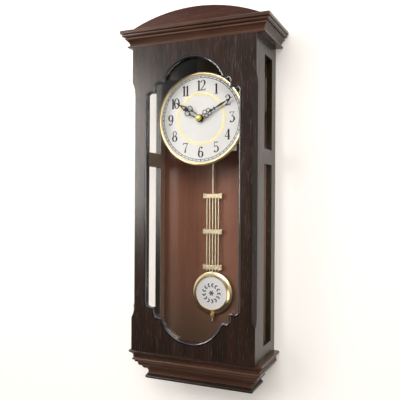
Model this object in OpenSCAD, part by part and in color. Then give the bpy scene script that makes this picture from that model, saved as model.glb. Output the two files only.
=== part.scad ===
// Wall-hung regulator clock with a glazed door, open side windows and a gridiron pendulum.
// Millimetres. +Z is up, the door faces -Y and the wall is the plane y = 0.
// The origin is the centre of the keyhole in the hanger plate. Heights named _h count from the foot.

/* [Case] */
// Width over the two side frames, and of the door
case_w = 237.5; // [220:0.5:260]
// Depth from the wall to the front edges of the side frames
case_d = 98.9; // [92:0.1:115]
// Height of the opening that the door covers
case_h = 558.5; // [540:0.5:600]
// Thickness of a side frame
side_t = 10.8; // [9:0.1:14]
// Thickness of the back panel
back_t = 6; // [4:0.5:8]
// Width of the rebate that holds the back panel
rebate_w = 5; // [3:0.5:7]
// Thickness of the top board
top_t = 15; // [10:0.5:20]
// Distance of the keyhole below the cornice
keyhole_drop = 14.5; // [10:0.5:20]

/* [Side windows] */
// Width of a window, from front to back
window_w = 46; // [36:0.5:52]
// Width of the stile behind the windows
back_stile = 23.7; // [18:0.1:28]
// Height of the rail below the windows
bottom_rail = 23; // [16:0.5:34]
// Height of the lower window
lower_window_h = 318.7; // [280:0.1:330]
// Height of the rail between the windows
mid_rail = 26.6; // [18:0.1:34]
// Height of the rail between the upper window and the cornice
top_rail = 25.7; // [18:0.1:32]

/* [Cornice and pediment] */
// Height of the cornice
cornice_h = 30.5; // [27:0.1:34]
// How far the cornice's top stands out from the case
cornice_out = 24.1; // [22:0.1:28]
// Thickness of the nose at the top of the cornice
cornice_nose = 7; // [5:0.1:8]
// How far the fillet at the cornice's foot stands out
cornice_foot_out = 13.9; // [12.5:0.1:15]
// How far the pediment reaches past the case's sides
pediment_over = 2.15; // [0:0.05:4]
// Height of the pediment's ends
pediment_end_h = 5; // [4:0.1:12]
// How much higher the arch is at its middle than at its ends
pediment_rise = 25; // [16:0.1:34]
// Thickness of the pediment
pediment_t = 16; // [12:0.5:20]
// How far the pediment stands behind the cornice's front
pediment_set = 14; // [12:0.5:18]

/* [Base] */
// Thickness of the base plate, which is the case's floor
plate_t = 14; // [12:0.5:18]
// How far the base plate's nose stands out from the case
plate_out = 10.2; // [8:0.1:13]
// Height of the base moulding
base_mould_h = 33.5; // [32:0.1:38]
// Thickness of the base moulding, measured in from the case's face
base_mould_t = 30; // [26:0.5:34]
// Thickness of the plinth board
plinth_t = 8.5; // [7:0.1:11]
// How far the plinth board lies behind the case's front
plinth_front_in = 10; // [9:0.1:13]
// How far it lies inside the case's sides
plinth_side_in = 13; // [12:0.1:15]
// How far it ends before the wall
plinth_back_in = 26; // [20:0.1:30]

/* [Door] */
// Thickness of the door
door_t = 17; // [15:0.5:20]
// Gap between the door's back and the case
door_gap = 0.6; // [0.4:0.1:1]
// Gap above and below the door
door_clear = 0.8; // [0.5:0.1:1.5]
// Width of the door's stiles beside the opening
stile_w = 26.35; // [24:0.05:30]
// Height of the door's wood above the crown of the opening's arch
crown_rail = 26.75; // [22:0.05:32]
// Height of the door's wood below the lower arch
toe_rail = 22; // [18:0.05:32]
// Distance of the first shoulder below the crown
shoulder_1_drop = 58; // [52:0.5:66]
// Distance of the second shoulder below the crown
shoulder_2_drop = 40; // [36:0.5:44]
// Width of the step between the shoulders
step_w = 16.8; // [14:0.1:20]
// How far the arches end inside the step
arch_in = 10.6; // [8:0.1:14]
// Radius of the opening's rounded shoulders
shoulder_r = 11.5; // [9:0.5:14]
// Width of the bead round the opening
bead_w = 4; // [3:0.1:5]
// How far the bead stands proud of the door
bead_proud = 0.5; // [0:0.1:1]
// Thickness of the door's lip in front of the glass
lip_t = 7; // [6:0.5:9]
// Width of the rebate behind the lip, beyond the opening
glass_lap = 5.6; // [5:0.1:7]
// Thickness of the glass
glass_t = 2; // [1.5:0.1:3]
// Side of the square glass stops
stop_w = 5; // [4:0.5:6]
// Width of the stopped chamfers on the door's front
chamfer_w = 6; // [4:0.5:9]
// Depth of the stopped chamfers on the door's sides
chamfer_d = 9.5; // [4:0.5:12]
// Radius of the run-out at the chamfers' ends
runout_r = 40; // [20:1:60]

/* [Hinges and catch] */
// Length of a hinge
hinge_l = 40; // [32:1:50]
// Width of a hinge leaf from the case's side
leaf_w = 9.6; // [8:0.1:10.4]
// Thickness of a hinge leaf
leaf_t = 1.2; // [1:0.1:1.5]
// Radius of a hinge knuckle
knuckle_r = 2.6; // [2.3:0.1:3]
// Radius of a hinge pin
pin_r = 1.1; // [0.9:0.05:1.3]
// Distance of a hinge from the door's end
hinge_inset = 62; // [40:1:90]
// Radial clearance of a pin or arbor in its hole
run_clear = 0.05; // [0.03:0.01:0.08]

/* [Dial] */
// Distance of the dial's centre below the cornice
dial_drop = 132.6; // [124:0.1:140]
// Distance of the dial's face from the wall
dial_y = 74.6; // [72:0.1:78]
// Outer radius of the bezel
bezel_r = 85; // [80:0.5:88]
// Width of the bezel's gold ring
bezel_w = 5.5; // [4:0.1:7]
// Thickness of the dial plate
dial_t = 0.8; // [0.6:0.1:1.2]
// Middle radius of the inner gold ring
ring_r = 45.9; // [42:0.1:50]
// Width of the inner gold ring
ring_w = 4.6; // [3:0.1:6]
// Length of the minute hand
minute_l = 73; // [66:0.5:76]
// Length of the hour hand
hour_l = 57; // [50:0.5:60]
// Angle of the minute hand past twelve
minute_at = 62; // [0:1:359]
// Angle of the hour hand past twelve
hour_at = 303; // [0:1:359]
// Thickness of a hand
hand_t = 0.5; // [0.4:0.05:0.7]

/* [Movement] */
// Width and height of the movement
move_w = 60; // [58:1:64]
// Depth of the movement
move_d = 18; // [17.6:0.1:19]
// Wall of the movement's housing
move_wall = 1.5; // [1.2:0.1:1.7]
// Outer radius of the threaded bush
bush_r = 4; // [3.8:0.1:4.5]
// Distance between the arbors of the motion work
arbor_gap = 12; // [11.5:0.1:12.2]
// Radius of the minute arbor
arbor_r = 0.9; // [0.8:0.05:1]
// Outer radius of the hour tube
hour_tube_r = 2.3; // [2.2:0.05:2.4]
// Radius of the battery
battery_r = 7.1; // [6.8:0.05:7.2]
// Length of the battery
battery_l = 50; // [46:0.5:50.5]

/* [Bearer] */
// Height of the bearer board
bearer_w = 78; // [70:1:84]
// Height of its lower edge above the dial's centre
bearer_up = 5.1; // [1:0.1:9]
// Distance of its front from the wall
bearer_y = 39.3; // [36:0.1:44]
// Thickness of the bearer board
bearer_t = 10; // [8:0.5:12]
// Radius of a dial pillar
pillar_r = 4; // [3:0.5:5]

/* [Pendulum] */
// Distance of the pendulum's plane from the wall
pend_y = 14.1; // [13.8:0.1:15]
// Height of the pendulum's pivot above the dial's centre
pivot_up = 38.1; // [34:0.1:44]
// Height of the bob's centre above the case's floor
bob_up = 99.7; // [88:0.1:112]
// Radius of the bob
bob_r = 40.1; // [36:0.1:42]
// Thickness of the bob
bob_t = 10; // [9:0.1:12]
// Radius of the white disc in the bob
disc_r = 31.2; // [28:0.1:33]
// Radius of a pendulum rod
rod_r = 1.3; // [1.1:0.05:1.5]
// Distance between two rods
rod_gap = 5.95; // [5:0.05:7]
// Distance of the top cross bar below the dial's centre
bar_drop = 140.1; // [126:0.1:156]
// Gap between the bob and the middle of the lowest cross bar
bar_clear = 9.3; // [8:0.1:16]
// Half length of a cross bar
bar_half_l = 19.6; // [18.5:0.1:22]
// Radius of the rating nut
nut_r = 3.7; // [3:0.1:4.2]
// Height of the rating nut
nut_h = 7.4; // [6:0.1:8]

/* [Hidden] */
$fn = 64;

// Heights of the main levels, from the foot
plate_bot_h = plinth_t + base_mould_h;
floor_h = plate_bot_h + plate_t;
cornice_bot_h = floor_h + case_h;
cornice_top_h = cornice_bot_h + cornice_h;
foot_z = keyhole_drop - cornice_bot_h;
function z_at(h) = foot_z + h;

// Case
half_w = case_w / 2;
inner_half_w = half_w - side_t;
panel_half_w = inner_half_w + rebate_w;
far = 400;
cut = 1;
window_front_y = -(back_stile + window_w);
lower_h = floor_h + bottom_rail;
upper_h = lower_h + lower_window_h + mid_rail;
upper_window_h = cornice_bot_h - top_rail - upper_h;
hatch_half_w = 45;
hatch_below = 53.9;
hatch_above = 62.1;
glue_w = 40;
glue_d = 10;
corner_block_w = 16;
pediment_w = case_w + 2 * pediment_over;
pediment_r = (pediment_w * pediment_w / 4 + pediment_rise * pediment_rise) / (2 * pediment_rise);

// Hanger
hanger_w = 46;
hanger_l = 30;
hanger_t = 1.2;
keyhole_r = 4.5;
slot_r = 2.2;
slot_l = 9;
head_room_r = 7;
hanger_block_t = 12;
hanger_block_w = 64;
hanger_block_below = 22;

// Door
door_back_y = -(case_d + door_gap);
door_front_y = door_back_y - door_t;
lip_back_y = door_front_y + lip_t;
door_mid_z = z_at(floor_h + case_h / 2);
door_half_h = case_h / 2 - door_clear;
open_half_w = half_w - stile_w;
step_half_w = open_half_w - step_w;
arch_r = step_half_w - arch_in;
crown_h = (case_h - crown_rail - toe_rail) / 2;
open_mid_z = z_at(floor_h + toe_rail) + crown_h;
shoulder_1_h = crown_h - shoulder_1_drop;
shoulder_2_h = crown_h - shoulder_2_drop;
arch_z = crown_h - arch_r;
rebate_half_w = open_half_w + glass_lap;
rebate_half_h = crown_h + glass_lap;
glass_play = 0.5;

// Hinges: the pin stands beside the joint between the door and the case
hinge_x = -(half_w + knuckle_r + 0.3);
hinge_y = -(case_d + door_gap / 2);
pin_ball_r = pin_r * 1.5;
knuckle_gap = 0.3;
knuckle_l = (hinge_l - 4 * knuckle_gap) / 5;
hinge_z = [door_mid_z - door_half_h + hinge_inset, door_mid_z + door_half_h - hinge_inset];
leaf_play = 0.05;

// Screws
screw_r = 1.2;
screw_head_r = 2.4;
screw_head_h = 1.2;
screw_l = 8;
hole_play = 0.05;
leaf_screw_step = 26;

// Catch
catch_h = upper_h - mid_rail / 2;
catch_l = 34;
catch_w = 11;
catch_depth = 16;
catch_screw = catch_l * 0.36;
magnet_w = 6;
magnet_l = 17;
magnet_depth = 8;
strike_t = 1;
strike_w = 10;
strike_l = catch_l + 16;
strike_screw = strike_l / 2 - 4;
magnet_face_y = door_back_y + strike_t + 0.3;
catch_x = inner_half_w - catch_w / 2;

// Dial and movement, as depths in front of the wall
dial_h = cornice_bot_h - dial_drop;
dial_z = z_at(dial_h);
dial_back_y = dial_y - dial_t;
washer_t = 1;
move_front_y = dial_back_y - washer_t;
move_rear_y = move_front_y - move_d;
split_y = move_front_y - move_d * 0.45;
bush_end_y = dial_y + 5;
nut_t = 2.2;
bush_bore = hour_tube_r + run_clear;
hour_hand_y = bush_end_y + 0.8;
minute_hand_y = hour_hand_y + hand_t + 1.1;
cap_y = minute_hand_y + hand_t;
cap_h = 7;
cap_r = 5.2;
cap_bore_l = 2;
hour_boss_r = 6.8;
minute_boss_r = 6.4;
bezel_front = 3;
bezel_back = 1.8;
dial_plate_r = bezel_r - 0.9;

// Motion work: twelve to one in two steps on equal arbor distances
pinion_teeth = 12;
idler_teeth = 36;
idler_pinion_teeth = 10;
hour_teeth = 40;
m_first = 2 * arbor_gap / (pinion_teeth + idler_teeth);
m_second = 2 * arbor_gap / (idler_pinion_teeth + hour_teeth);
wheel_t = 1.2;
hour_wheel_y = move_front_y - move_wall - 0.4;
idler_y = hour_wheel_y - wheel_t - 0.8;
idler_arbor_r = 0.6;
knob_x = 2 * arbor_gap;
knob_r = 4.2;
knob_h = 3;
knob_stem_r = 1.2;
pivot_l = 0.9;
battery_z = -(move_w / 2 - move_wall - battery_r - 0.6);
bay_play = 0.3;
battery_y = (move_front_y + move_rear_y) / 2;

// Bearer
bearer_h = dial_h + bearer_up;
bearer_back_y = bearer_y - bearer_t;
bearer_mid_h = bearer_h + bearer_w / 2;
cleat_w = 10;
cleat_d = 18;
cleat_h = 60;
pillar_at = [[-48, 18], [48, 18], [-36, 62], [36, 62]];
pillar_waist = 1;
pillar_bore_l = 11;
pillar_screw_in = 9;

// Pendulum
pivot_h = dial_h + pivot_up;
bob_h = floor_h + bob_up;
bar_top_h = dial_h - bar_drop;
bar_low_h = bob_h + bob_r + bar_clear;
bar_step = (bar_top_h - bar_low_h) / 2;
drive_w = 48;
drive_h = 34;
drive_wall = 1.2;
drive_t = bearer_back_y - pend_y - 3.4;
drive_bot_h = pivot_h - 24;
pivot_r = 1.2;
arm_w = 5;
arm_t = 1.4;
arm_gap = 0.5;
arm_y = bearer_back_y - drive_t - arm_gap;
arm_l = 46;
hook_r = 1.2;
eye_r = 3.2;
eye_bore = hook_r + 0.15;
eye_t = 1.8;
bar_t = 1;
bar_waist = 8.2;
bar_end = 10.4;
rivet_x = rod_gap * 1.5;
rod_stub = 3.4;
bob_z = z_at(bob_h);
bob_back_y = pend_y - 4.6;
bob_back_t = 3.1;
bob_wall = 1.1;
rim_lip = 1.6;
rim_lip_t = 1;
rim_lip_depth = 2.4;
bob_disc_t = 0.9;
rod_play = 0.08;
nut_top_z = bob_z - bob_r - 0.02;
tip_z = nut_top_z - nut_h - 6.6;

// Box given by its lowest and highest corner
module box(lo, hi) { translate(lo) cube(hi - lo); }

// Stands a flat outline in the plane y = -y_back and thickens it towards the viewer
module facing(y_back, t) {
    translate([0, -y_back, 0]) rotate([90, 0, 0]) linear_extrude(t) children();
}

// Turns a solid of revolution so that its axis points at the viewer, base at y = -y_back
module towards_viewer(x, y_back, z) {
    translate([x, -y_back, z]) rotate([90, 0, 0]) children();
}

// Ring between two radii
module ring(r_out, r_in) {
    difference() {
        circle(r_out);
        circle(r_in);
    }
}

// Screw with a domed head, the head's underside at the origin and the shank along -Z
module screw(len = screw_l) {
    translate([0, 0, -len]) cylinder(r = screw_r, h = len);
    intersection() {
        translate([0, 0, screw_head_h - screw_head_r * 1.3]) sphere(screw_head_r * 1.3);
        cylinder(r = screw_head_r, h = screw_head_h);
    }
}

// Hole for the shank of that screw
module screw_hole(len = screw_l) {
    translate([0, 0, -len - hole_play]) cylinder(r = screw_r + hole_play, h = len + cut);
}

// Mouldings: profile x counts outwards from the case's face, y upwards

// Centre of an arc through a and b that sags towards the left of the way from a to b
function arc_centre(a, b, sag) =
    let (d = b - a, l = norm(d), r = (l * l / 4 + sag * sag) / (2 * sag), n = [d[1], -d[0]] / l)
    concat((a + b) / 2 + n * (r - sag), [r]);

// Area cut off between a straight edge and an arc that sags into the wood
module hollow(a, b, sag) {
    c = arc_centre(a, b, sag);
    translate([c[0], c[1]]) circle(c[2]);
}

// Board edge with a half-round nose
module nose(bottom, top, out) {
    r = (top - bottom) / 2;
    translate([-base_mould_t, bottom]) square([base_mould_t + out - r, 2 * r]);
    translate([out - r, bottom + r]) circle(r);
}

// Board edge with its two corners rounded by r
module rounded_edge(bottom, top, out, r) {
    translate([0, bottom]) square([out - r, top - bottom]);
    translate([out - r - cut, bottom + r]) square([r + cut, top - bottom - 2 * r]);
    for (z = [bottom + r, top - r]) translate([out - r, z]) circle(r);
}

module cornice_profile() {
    nose_z = cornice_h - cornice_nose;
    quirk = 1.3;
    ovolo_r = 4;
    ovolo_out = cornice_out - 2.2 - ovolo_r;
    ovolo_z = nose_z - quirk;
    step_z = ovolo_z - ovolo_r;
    fillet_out = ovolo_out - 0.8;
    fillet_t = 2.2;
    cove_z = step_z - quirk - fillet_t;
    neck_z = 5.8;
    neck_out = 10.2;
    foot_t = 3.2;
    intersection() {
        union() {
            rounded_edge(nose_z, cornice_h, cornice_out, 2);
            translate([0, ovolo_z - cut]) square([ovolo_out + 1.4, quirk + 2 * cut]);
            translate([0, step_z]) square([ovolo_out, ovolo_r]);
            intersection() {
                translate([ovolo_out, ovolo_z]) circle(ovolo_r);
                translate([0, step_z]) square([ovolo_out + ovolo_r, ovolo_r]);
            }
            translate([0, step_z - quirk - cut]) square([ovolo_out - 2, quirk + 2 * cut]);
            translate([0, cove_z]) square([fillet_out, fillet_t]);
            difference() {
                polygon([[0, neck_z], [neck_out, neck_z], [fillet_out - 0.6, cove_z + 0.1],
                    [0, cove_z + 0.1]]);
                hollow([neck_out, neck_z], [fillet_out - 0.6, cove_z], 0.9);
            }
            difference() {
                translate([0, foot_t / 2]) square([cornice_foot_out, neck_z - foot_t / 2 + 0.1]);
                translate([cornice_foot_out + 0.2, neck_z + 0.6]) circle(3.9);
            }
            nose(0, foot_t, cornice_foot_out);
        }
        square([far, far]);
    }
}

// The base plate's edge, with the plate itself reaching inwards
module plate_profile(inner) {
    nose_t = 5.4;
    fillet_t = 2;
    fillet_out = 4.4;
    foot_out = 3;
    neck_out = plate_out - 1.6;
    translate([-inner, 0]) square([inner, plate_t]);
    translate([-cut, 0]) square([fillet_out + cut, fillet_t]);
    difference() {
        union() {
            nose(plate_t - nose_t, plate_t, plate_out);
            polygon([[-cut, fillet_t - 0.1], [foot_out, fillet_t - 0.1], [neck_out, plate_t - nose_t + 0.1],
                [-cut, plate_t - nose_t + 0.1]]);
        }
        hollow([foot_out, fillet_t], [neck_out, plate_t - nose_t], 0.8);
    }
}

module base_profile() {
    h = base_mould_h;
    nose_t = 5;
    nose_out = 5.2;
    under = h - 1.4 - nose_t;
    cove_r = 4;
    cove_z = under - 3.2;
    bead_r = 4.6;
    bead_x = 1.8 - cove_r - 0.6;
    bead_z = cove_z - cove_r;
    low_r = 6.4;
    low_x = bead_x - bead_r - 1;
    low_z = bead_z - bead_r;
    neck_x = low_x - low_r - 0.6;
    neck_z = low_z - low_r;
    fillet_t = 1.8;
    foot_x = neck_x - 2.6;
    difference() {
        union() {
            translate([-base_mould_t, 0]) square([base_mould_t + 2.2, h]);
            nose(under, under + nose_t, nose_out);
        }
        translate([1.8, -cut]) square([far, under + cut]);
        translate([bead_x, -cut]) square([far, cove_z - cove_r + cut]);
        intersection() {
            translate([bead_x, cove_z - cove_r]) square([far, cove_r]);
            union() {
                translate([bead_x + cove_r, cove_z - cove_r]) circle(cove_r);
                translate([bead_x + cove_r, cove_z - cove_r]) square([far, cove_r]);
            }
        }
        difference() {
            translate([bead_x - bead_r, bead_z - bead_r]) square([bead_r + cut, bead_r]);
            translate([bead_x - bead_r, bead_z]) circle(bead_r);
        }
        translate([low_x, -cut]) square([far, low_z + cut]);
        difference() {
            translate([low_x - low_r, -cut]) square([low_r + cut, low_z + cut]);
            translate([low_x - low_r, low_z]) circle(low_r);
        }
        polygon([[neck_x, neck_z], [far, neck_z], [far, fillet_t], [foot_x, fillet_t]]);
        translate([foot_x + 1.2, -cut]) square([far, fillet_t + cut + 0.1]);
    }
}

// Length of profile along the front, mitred at both corners of the case
module front_run(z, depth, reach) {
    l = case_w + 2 * reach + 2 * cut;
    intersection() {
        translate([l / 2, -case_d, z]) rotate([90, 0, -90]) linear_extrude(l) children();
        translate([0, 0, z - cut]) linear_extrude(far)
            polygon([[-(half_w - depth), -(case_d - depth)], [half_w - depth, -(case_d - depth)],
                [half_w + reach, -(case_d + reach)], [-(half_w + reach), -(case_d + reach)]]);
    }
}

// Length of profile along the right side, from the wall to the mitre
module side_run(z, depth, reach) {
    intersection() {
        translate([half_w, 0, z]) rotate([90, 0, 0]) linear_extrude(case_d + reach + cut) children();
        translate([0, 0, z - cut]) linear_extrude(far)
            polygon([[half_w - depth, 0], [half_w - depth, -(case_d - depth)],
                [half_w + reach, -(case_d + reach)], [half_w + reach, 0]]);
    }
}

// Case

module back_panel() {
    color("saddlebrown") difference() {
        box([-panel_half_w, -back_t, z_at(floor_h)], [panel_half_w, 0, z_at(cornice_top_h)]);
        box([-hatch_half_w, -back_t - cut, dial_z - hatch_below], [hatch_half_w, cut, dial_z + hatch_above]);
        translate([-hanger_w / 2, -hanger_t, -hanger_l / 2]) cube([hanger_w, 2 * hanger_t, hanger_l]);
        head_room(-back_t - cut, back_t + 2 * cut);
        for (p = hanger_screws) translate([p[0], -hanger_t, p[1]]) rotate([-90, 0, 0]) screw_hole();
    }
}

hanger_screws = [[-17, 0], [17, 0]];

// Room behind the hanger plate for the head of the wall screw
module head_room(y, t) {
    translate([0, y, 0]) rotate([-90, 0, 0]) cylinder(r = head_room_r, h = t);
    translate([0, y, slot_l]) rotate([-90, 0, 0]) cylinder(r = head_room_r, h = t);
    box([-head_room_r, y, 0], [head_room_r, y + t, slot_l]);
}

// Right side frame; the left one is its mirror image
module side_frame() {
    color("#2b1712") difference() {
        box([inner_half_w, -case_d, z_at(floor_h)], [half_w, 0, z_at(cornice_top_h)]);
        box([inner_half_w - cut, -back_t, z_at(floor_h) - cut],
            [panel_half_w, cut, z_at(cornice_top_h) + cut]);
        box([inner_half_w - cut, window_front_y, z_at(lower_h)],
            [half_w + cut, -back_stile, z_at(lower_h + lower_window_h)]);
        box([inner_half_w - cut, window_front_y, z_at(upper_h)],
            [half_w + cut, -back_stile, z_at(upper_h + upper_window_h)]);
    }
}

module side_frame_left() {
    difference() {
        mirror([1, 0, 0]) side_frame();
        for (z = hinge_z) {
            leaf_pocket(z, hinge_y + leaf_play, leaf_t);
            for (s = [-1, 1])
                translate([leaf_screw_x, hinge_y + leaf_play + leaf_t, z + s * leaf_screw_step / 2])
                    rotate([90, 0, 0]) screw_hole();
        }
    }
}

module side_frame_right() {
    difference() {
        side_frame();
        for (s = [-1, 1])
            translate([inner_half_w, -(case_d - catch_depth / 2), z_at(catch_h) + s * catch_screw])
                rotate([0, -90, 0]) screw_hole(5);
    }
}

leaf_screw_x = -(half_w - leaf_w / 2 - 0.4);

// Pocket that takes a hinge leaf flush
module leaf_pocket(z, y, t) {
    half = hinge_l / 2 + hole_play;
    box([-half_w - cut, y, z - half], [-half_w + leaf_w + hole_play, y + t, z + half]);
}

module top_board() {
    color("#3a1f16") box([-inner_half_w, -case_d, z_at(cornice_top_h - top_t)],
        [inner_half_w, -back_t, z_at(cornice_top_h)]);
}

module cornice_front() {
    color("#3d1d14") front_run(z_at(cornice_bot_h), 0, cornice_out + cut) cornice_profile();
}

module cornice_right() {
    color("#3d1d14") side_run(z_at(cornice_bot_h), 0, cornice_out + cut) cornice_profile();
}

module cornice_left() { mirror([1, 0, 0]) cornice_right(); }

module pediment() {
    color("#4a2016") translate([0, 0, z_at(cornice_top_h)])
        facing(case_d + cornice_out - pediment_set - pediment_t, pediment_t) intersection() {
            translate([-pediment_w / 2, 0]) square([pediment_w, pediment_end_h + pediment_rise + cut]);
            translate([0, pediment_end_h + pediment_rise - pediment_r]) circle(pediment_r, $fn = 180);
        }
}

module base_plate() {
    color("#35190f") translate([0, 0, z_at(plate_bot_h)]) intersection() {
        translate([far / 2, -case_d, 0]) rotate([90, 0, -90]) linear_extrude(far) plate_profile(case_d);
        rotate([90, 0, 0]) linear_extrude(far) for (s = [0, 1])
            mirror([s, 0, 0]) translate([half_w, 0]) plate_profile(half_w + cut);
    }
}

module base_moulding_front() {
    color("#3d1d14") front_run(z_at(plinth_t), base_mould_t, plate_out) base_profile();
}

module base_moulding_right() {
    color("#3d1d14") side_run(z_at(plinth_t), base_mould_t, plate_out) base_profile();
}

module base_moulding_left() { mirror([1, 0, 0]) base_moulding_right(); }

// Board with a half-round nose on its front and sides
module plinth_board() {
    nose_r = 3.2;
    x = half_w - plinth_side_in - nose_r;
    y = case_d - plinth_front_in - nose_r;
    z = z_at(0);
    color("#2e1610") {
        box([-x, -y, z], [x, -plinth_back_in, z + plinth_t]);
        for (s = [-1, 1]) {
            translate([s * x, -plinth_back_in, z + nose_r]) rotate([90, 0, 0])
                cylinder(r = nose_r, h = y - plinth_back_in);
            translate([s * x, -y, z + nose_r]) sphere(nose_r);
        }
        translate([-x, -y, z + nose_r]) rotate([0, 90, 0]) cylinder(r = nose_r, h = 2 * x);
    }
}

// Blocks glued behind the pediment and inside the corners of the base
module glue_blocks() {
    y = -(case_d + cornice_out - pediment_set - pediment_t);
    z = z_at(cornice_top_h);
    front = -(case_d - base_mould_t);
    color("#8a6a48") {
        for (s = [-1, 0, 1]) {
            x = s * pediment_w * 0.3;
            box([x - glue_w / 2, y, z], [x + glue_w / 2, y + glue_d, z + glue_d]);
        }
        for (s = [-1, 1]) {
            x = s * (half_w - base_mould_t);
            inner = x - s * corner_block_w;
            box([min(x, inner), front, z_at(plinth_t)],
                [max(x, inner), front + corner_block_w, z_at(plate_bot_h)]);
        }
    }
}

// Hanger

module hanger_block() {
    color("#8a6a48") difference() {
        box([-hanger_block_w / 2, -back_t - hanger_block_t, -hanger_block_below],
            [hanger_block_w / 2, -back_t, z_at(cornice_top_h - top_t)]);
        head_room(-back_t - 4, 4 + cut);
        for (p = hanger_screws) translate([p[0], -hanger_t, p[1]]) rotate([-90, 0, 0]) screw_hole();
    }
}

module hanger_plate() {
    color("goldenrod") difference() {
        box([-hanger_w / 2, -hanger_t, -hanger_l / 2], [hanger_w / 2, 0, hanger_l / 2]);
        translate([0, cut, 0]) rotate([90, 0, 0]) cylinder(r = keyhole_r, h = hanger_t + 2 * cut);
        translate([0, cut, slot_l]) rotate([90, 0, 0]) cylinder(r = slot_r, h = hanger_t + 2 * cut);
        box([-slot_r, -hanger_t - cut, 0], [slot_r, cut, slot_l]);
        for (p = hanger_screws) translate([p[0], 0, p[1]]) rotate([-90, 0, 0]) {
            translate([0, 0, -3]) cylinder(r = screw_r + hole_play, h = 4);
            translate([0, 0, -hanger_t / 2]) cylinder(r = screw_head_r + hole_play, h = hanger_t);
        }
    }
}

// Screws that stay with the case: hanger, hinges and catch
module case_screws() {
    color("gold") {
        for (p = hanger_screws) translate([p[0], -hanger_t / 2, p[1]]) rotate([-90, 0, 0]) {
            translate([0, 0, -screw_l]) cylinder(r = screw_r, h = screw_l);
            cylinder(r = screw_head_r, h = hanger_t / 2);
        }
        for (z = hinge_z, s = [-1, 1])
            translate([leaf_screw_x, hinge_y + leaf_play + leaf_t, z + s * leaf_screw_step / 2])
                rotate([90, 0, 0]) flush_screw();
        for (s = [-1, 1])
            translate([inner_half_w - catch_w, -(case_d - catch_depth / 2), z_at(catch_h) + s * catch_screw])
                rotate([0, -90, 0]) screw(catch_w + 4);
    }
}

// Screw whose head lies inside the thickness of a hinge leaf, the leaf's back at the origin
module flush_screw() {
    translate([0, 0, -screw_l]) cylinder(r = screw_r, h = screw_l);
    cylinder(r = screw_head_r, h = leaf_t);
}

// Hinges

// Leaf that lies from y to y + t, with the knuckles listed in own
module hinge_leaf(z, y, t, own) {
    difference() {
        union() {
            box([-half_w, y, z - hinge_l / 2], [-half_w + leaf_w, y + t, z + hinge_l / 2]);
            for (k = own) translate([0, 0, z - hinge_l / 2 + k * (knuckle_l + knuckle_gap)]) {
                translate([hinge_x, hinge_y, 0]) cylinder(r = knuckle_r, h = knuckle_l);
                box([hinge_x, y, 0], [-half_w + cut, y + t, knuckle_l]);
            }
        }
        translate([hinge_x, hinge_y, z - hinge_l]) cylinder(r = pin_r + run_clear, h = 2 * hinge_l);
        for (s = [-1, 1]) translate([leaf_screw_x, y - cut, z + s * leaf_screw_step / 2])
            rotate([-90, 0, 0]) cylinder(r = screw_head_r + hole_play, h = t + 2 * cut);
    }
}

module hinge_case_leaves() {
    color("goldenrod") for (z = hinge_z) hinge_leaf(z, hinge_y + leaf_play, leaf_t, [0, 2, 4]);
}

module hinge_door_leaves() {
    color("goldenrod") for (z = hinge_z) hinge_leaf(z, hinge_y - leaf_play - leaf_t, leaf_t, [1, 3]);
}

module hinge_pins() {
    reach = hinge_l / 2 + pin_ball_r + leaf_play;
    color("gold") for (z = hinge_z) translate([hinge_x, hinge_y, z]) {
        translate([0, 0, -reach]) cylinder(r = pin_r, h = 2 * reach);
        for (s = [-1, 1]) translate([0, 0, s * reach]) sphere(pin_ball_r);
    }
}

// Catch

module catch_body() {
    z = z_at(catch_h);
    color("#2a2a2a") difference() {
        box([inner_half_w - catch_w, magnet_face_y + 0.1, z - catch_l / 2],
            [inner_half_w, -(case_d - catch_depth), z + catch_l / 2]);
        box([catch_x - magnet_w / 2, -case_d - cut, z - magnet_l / 2],
            [catch_x + magnet_w / 2, -(case_d - magnet_depth), z + magnet_l / 2]);
        for (s = [-1, 1])
            translate([inner_half_w - catch_w, -(case_d - catch_depth / 2), z + s * catch_screw])
                rotate([0, -90, 0]) screw_hole(catch_w + 4);
    }
}

module catch_magnet() {
    z = z_at(catch_h);
    color("silver") box([catch_x - magnet_w / 2, magnet_face_y, z - magnet_l / 2],
        [catch_x + magnet_w / 2, -(case_d - magnet_depth), z + magnet_l / 2]);
}

// Door

// Rectangle with rounded corners, centred
module round_rect(hw, hh, r) {
    square([2 * (hw - r), 2 * hh], center = true);
    square([2 * hw, 2 * (hh - r)], center = true);
    for (sx = [-1, 1], sy = [-1, 1]) translate([sx * (hw - r), sy * (hh - r)]) circle(r);
}

// Outline of the opening, drawn in by e all round
module opening(e) {
    round_rect(open_half_w - e, shoulder_1_h - e, shoulder_r - e);
    round_rect(step_half_w - e, shoulder_2_h - e, shoulder_r - e);
    for (s = [-1, 1]) translate([0, s * arch_z]) circle(arch_r - e, $fn = 128);
}

// Cutter for a stopped chamfer on the right-hand edge of the door
module stopped_chamfer() {
    depth = chamfer_w * chamfer_d / norm([chamfer_w, chamfer_d]);
    reach = chamfer_w + chamfer_d;
    run = sqrt(runout_r * runout_r - (runout_r - depth) * (runout_r - depth));
    flat = shoulder_2_h - run;
    translate([half_w, door_front_y, open_mid_z]) rotate([0, 0, atan2(chamfer_w, -chamfer_d)])
        translate([0, reach, 0]) rotate([90, 0, 0]) linear_extrude(2 * reach) {
            translate([-reach, -flat]) square([reach + depth, 2 * flat]);
            for (s = [-1, 1]) translate([depth - runout_r, s * flat]) circle(runout_r, $fn = 180);
        }
}

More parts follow.
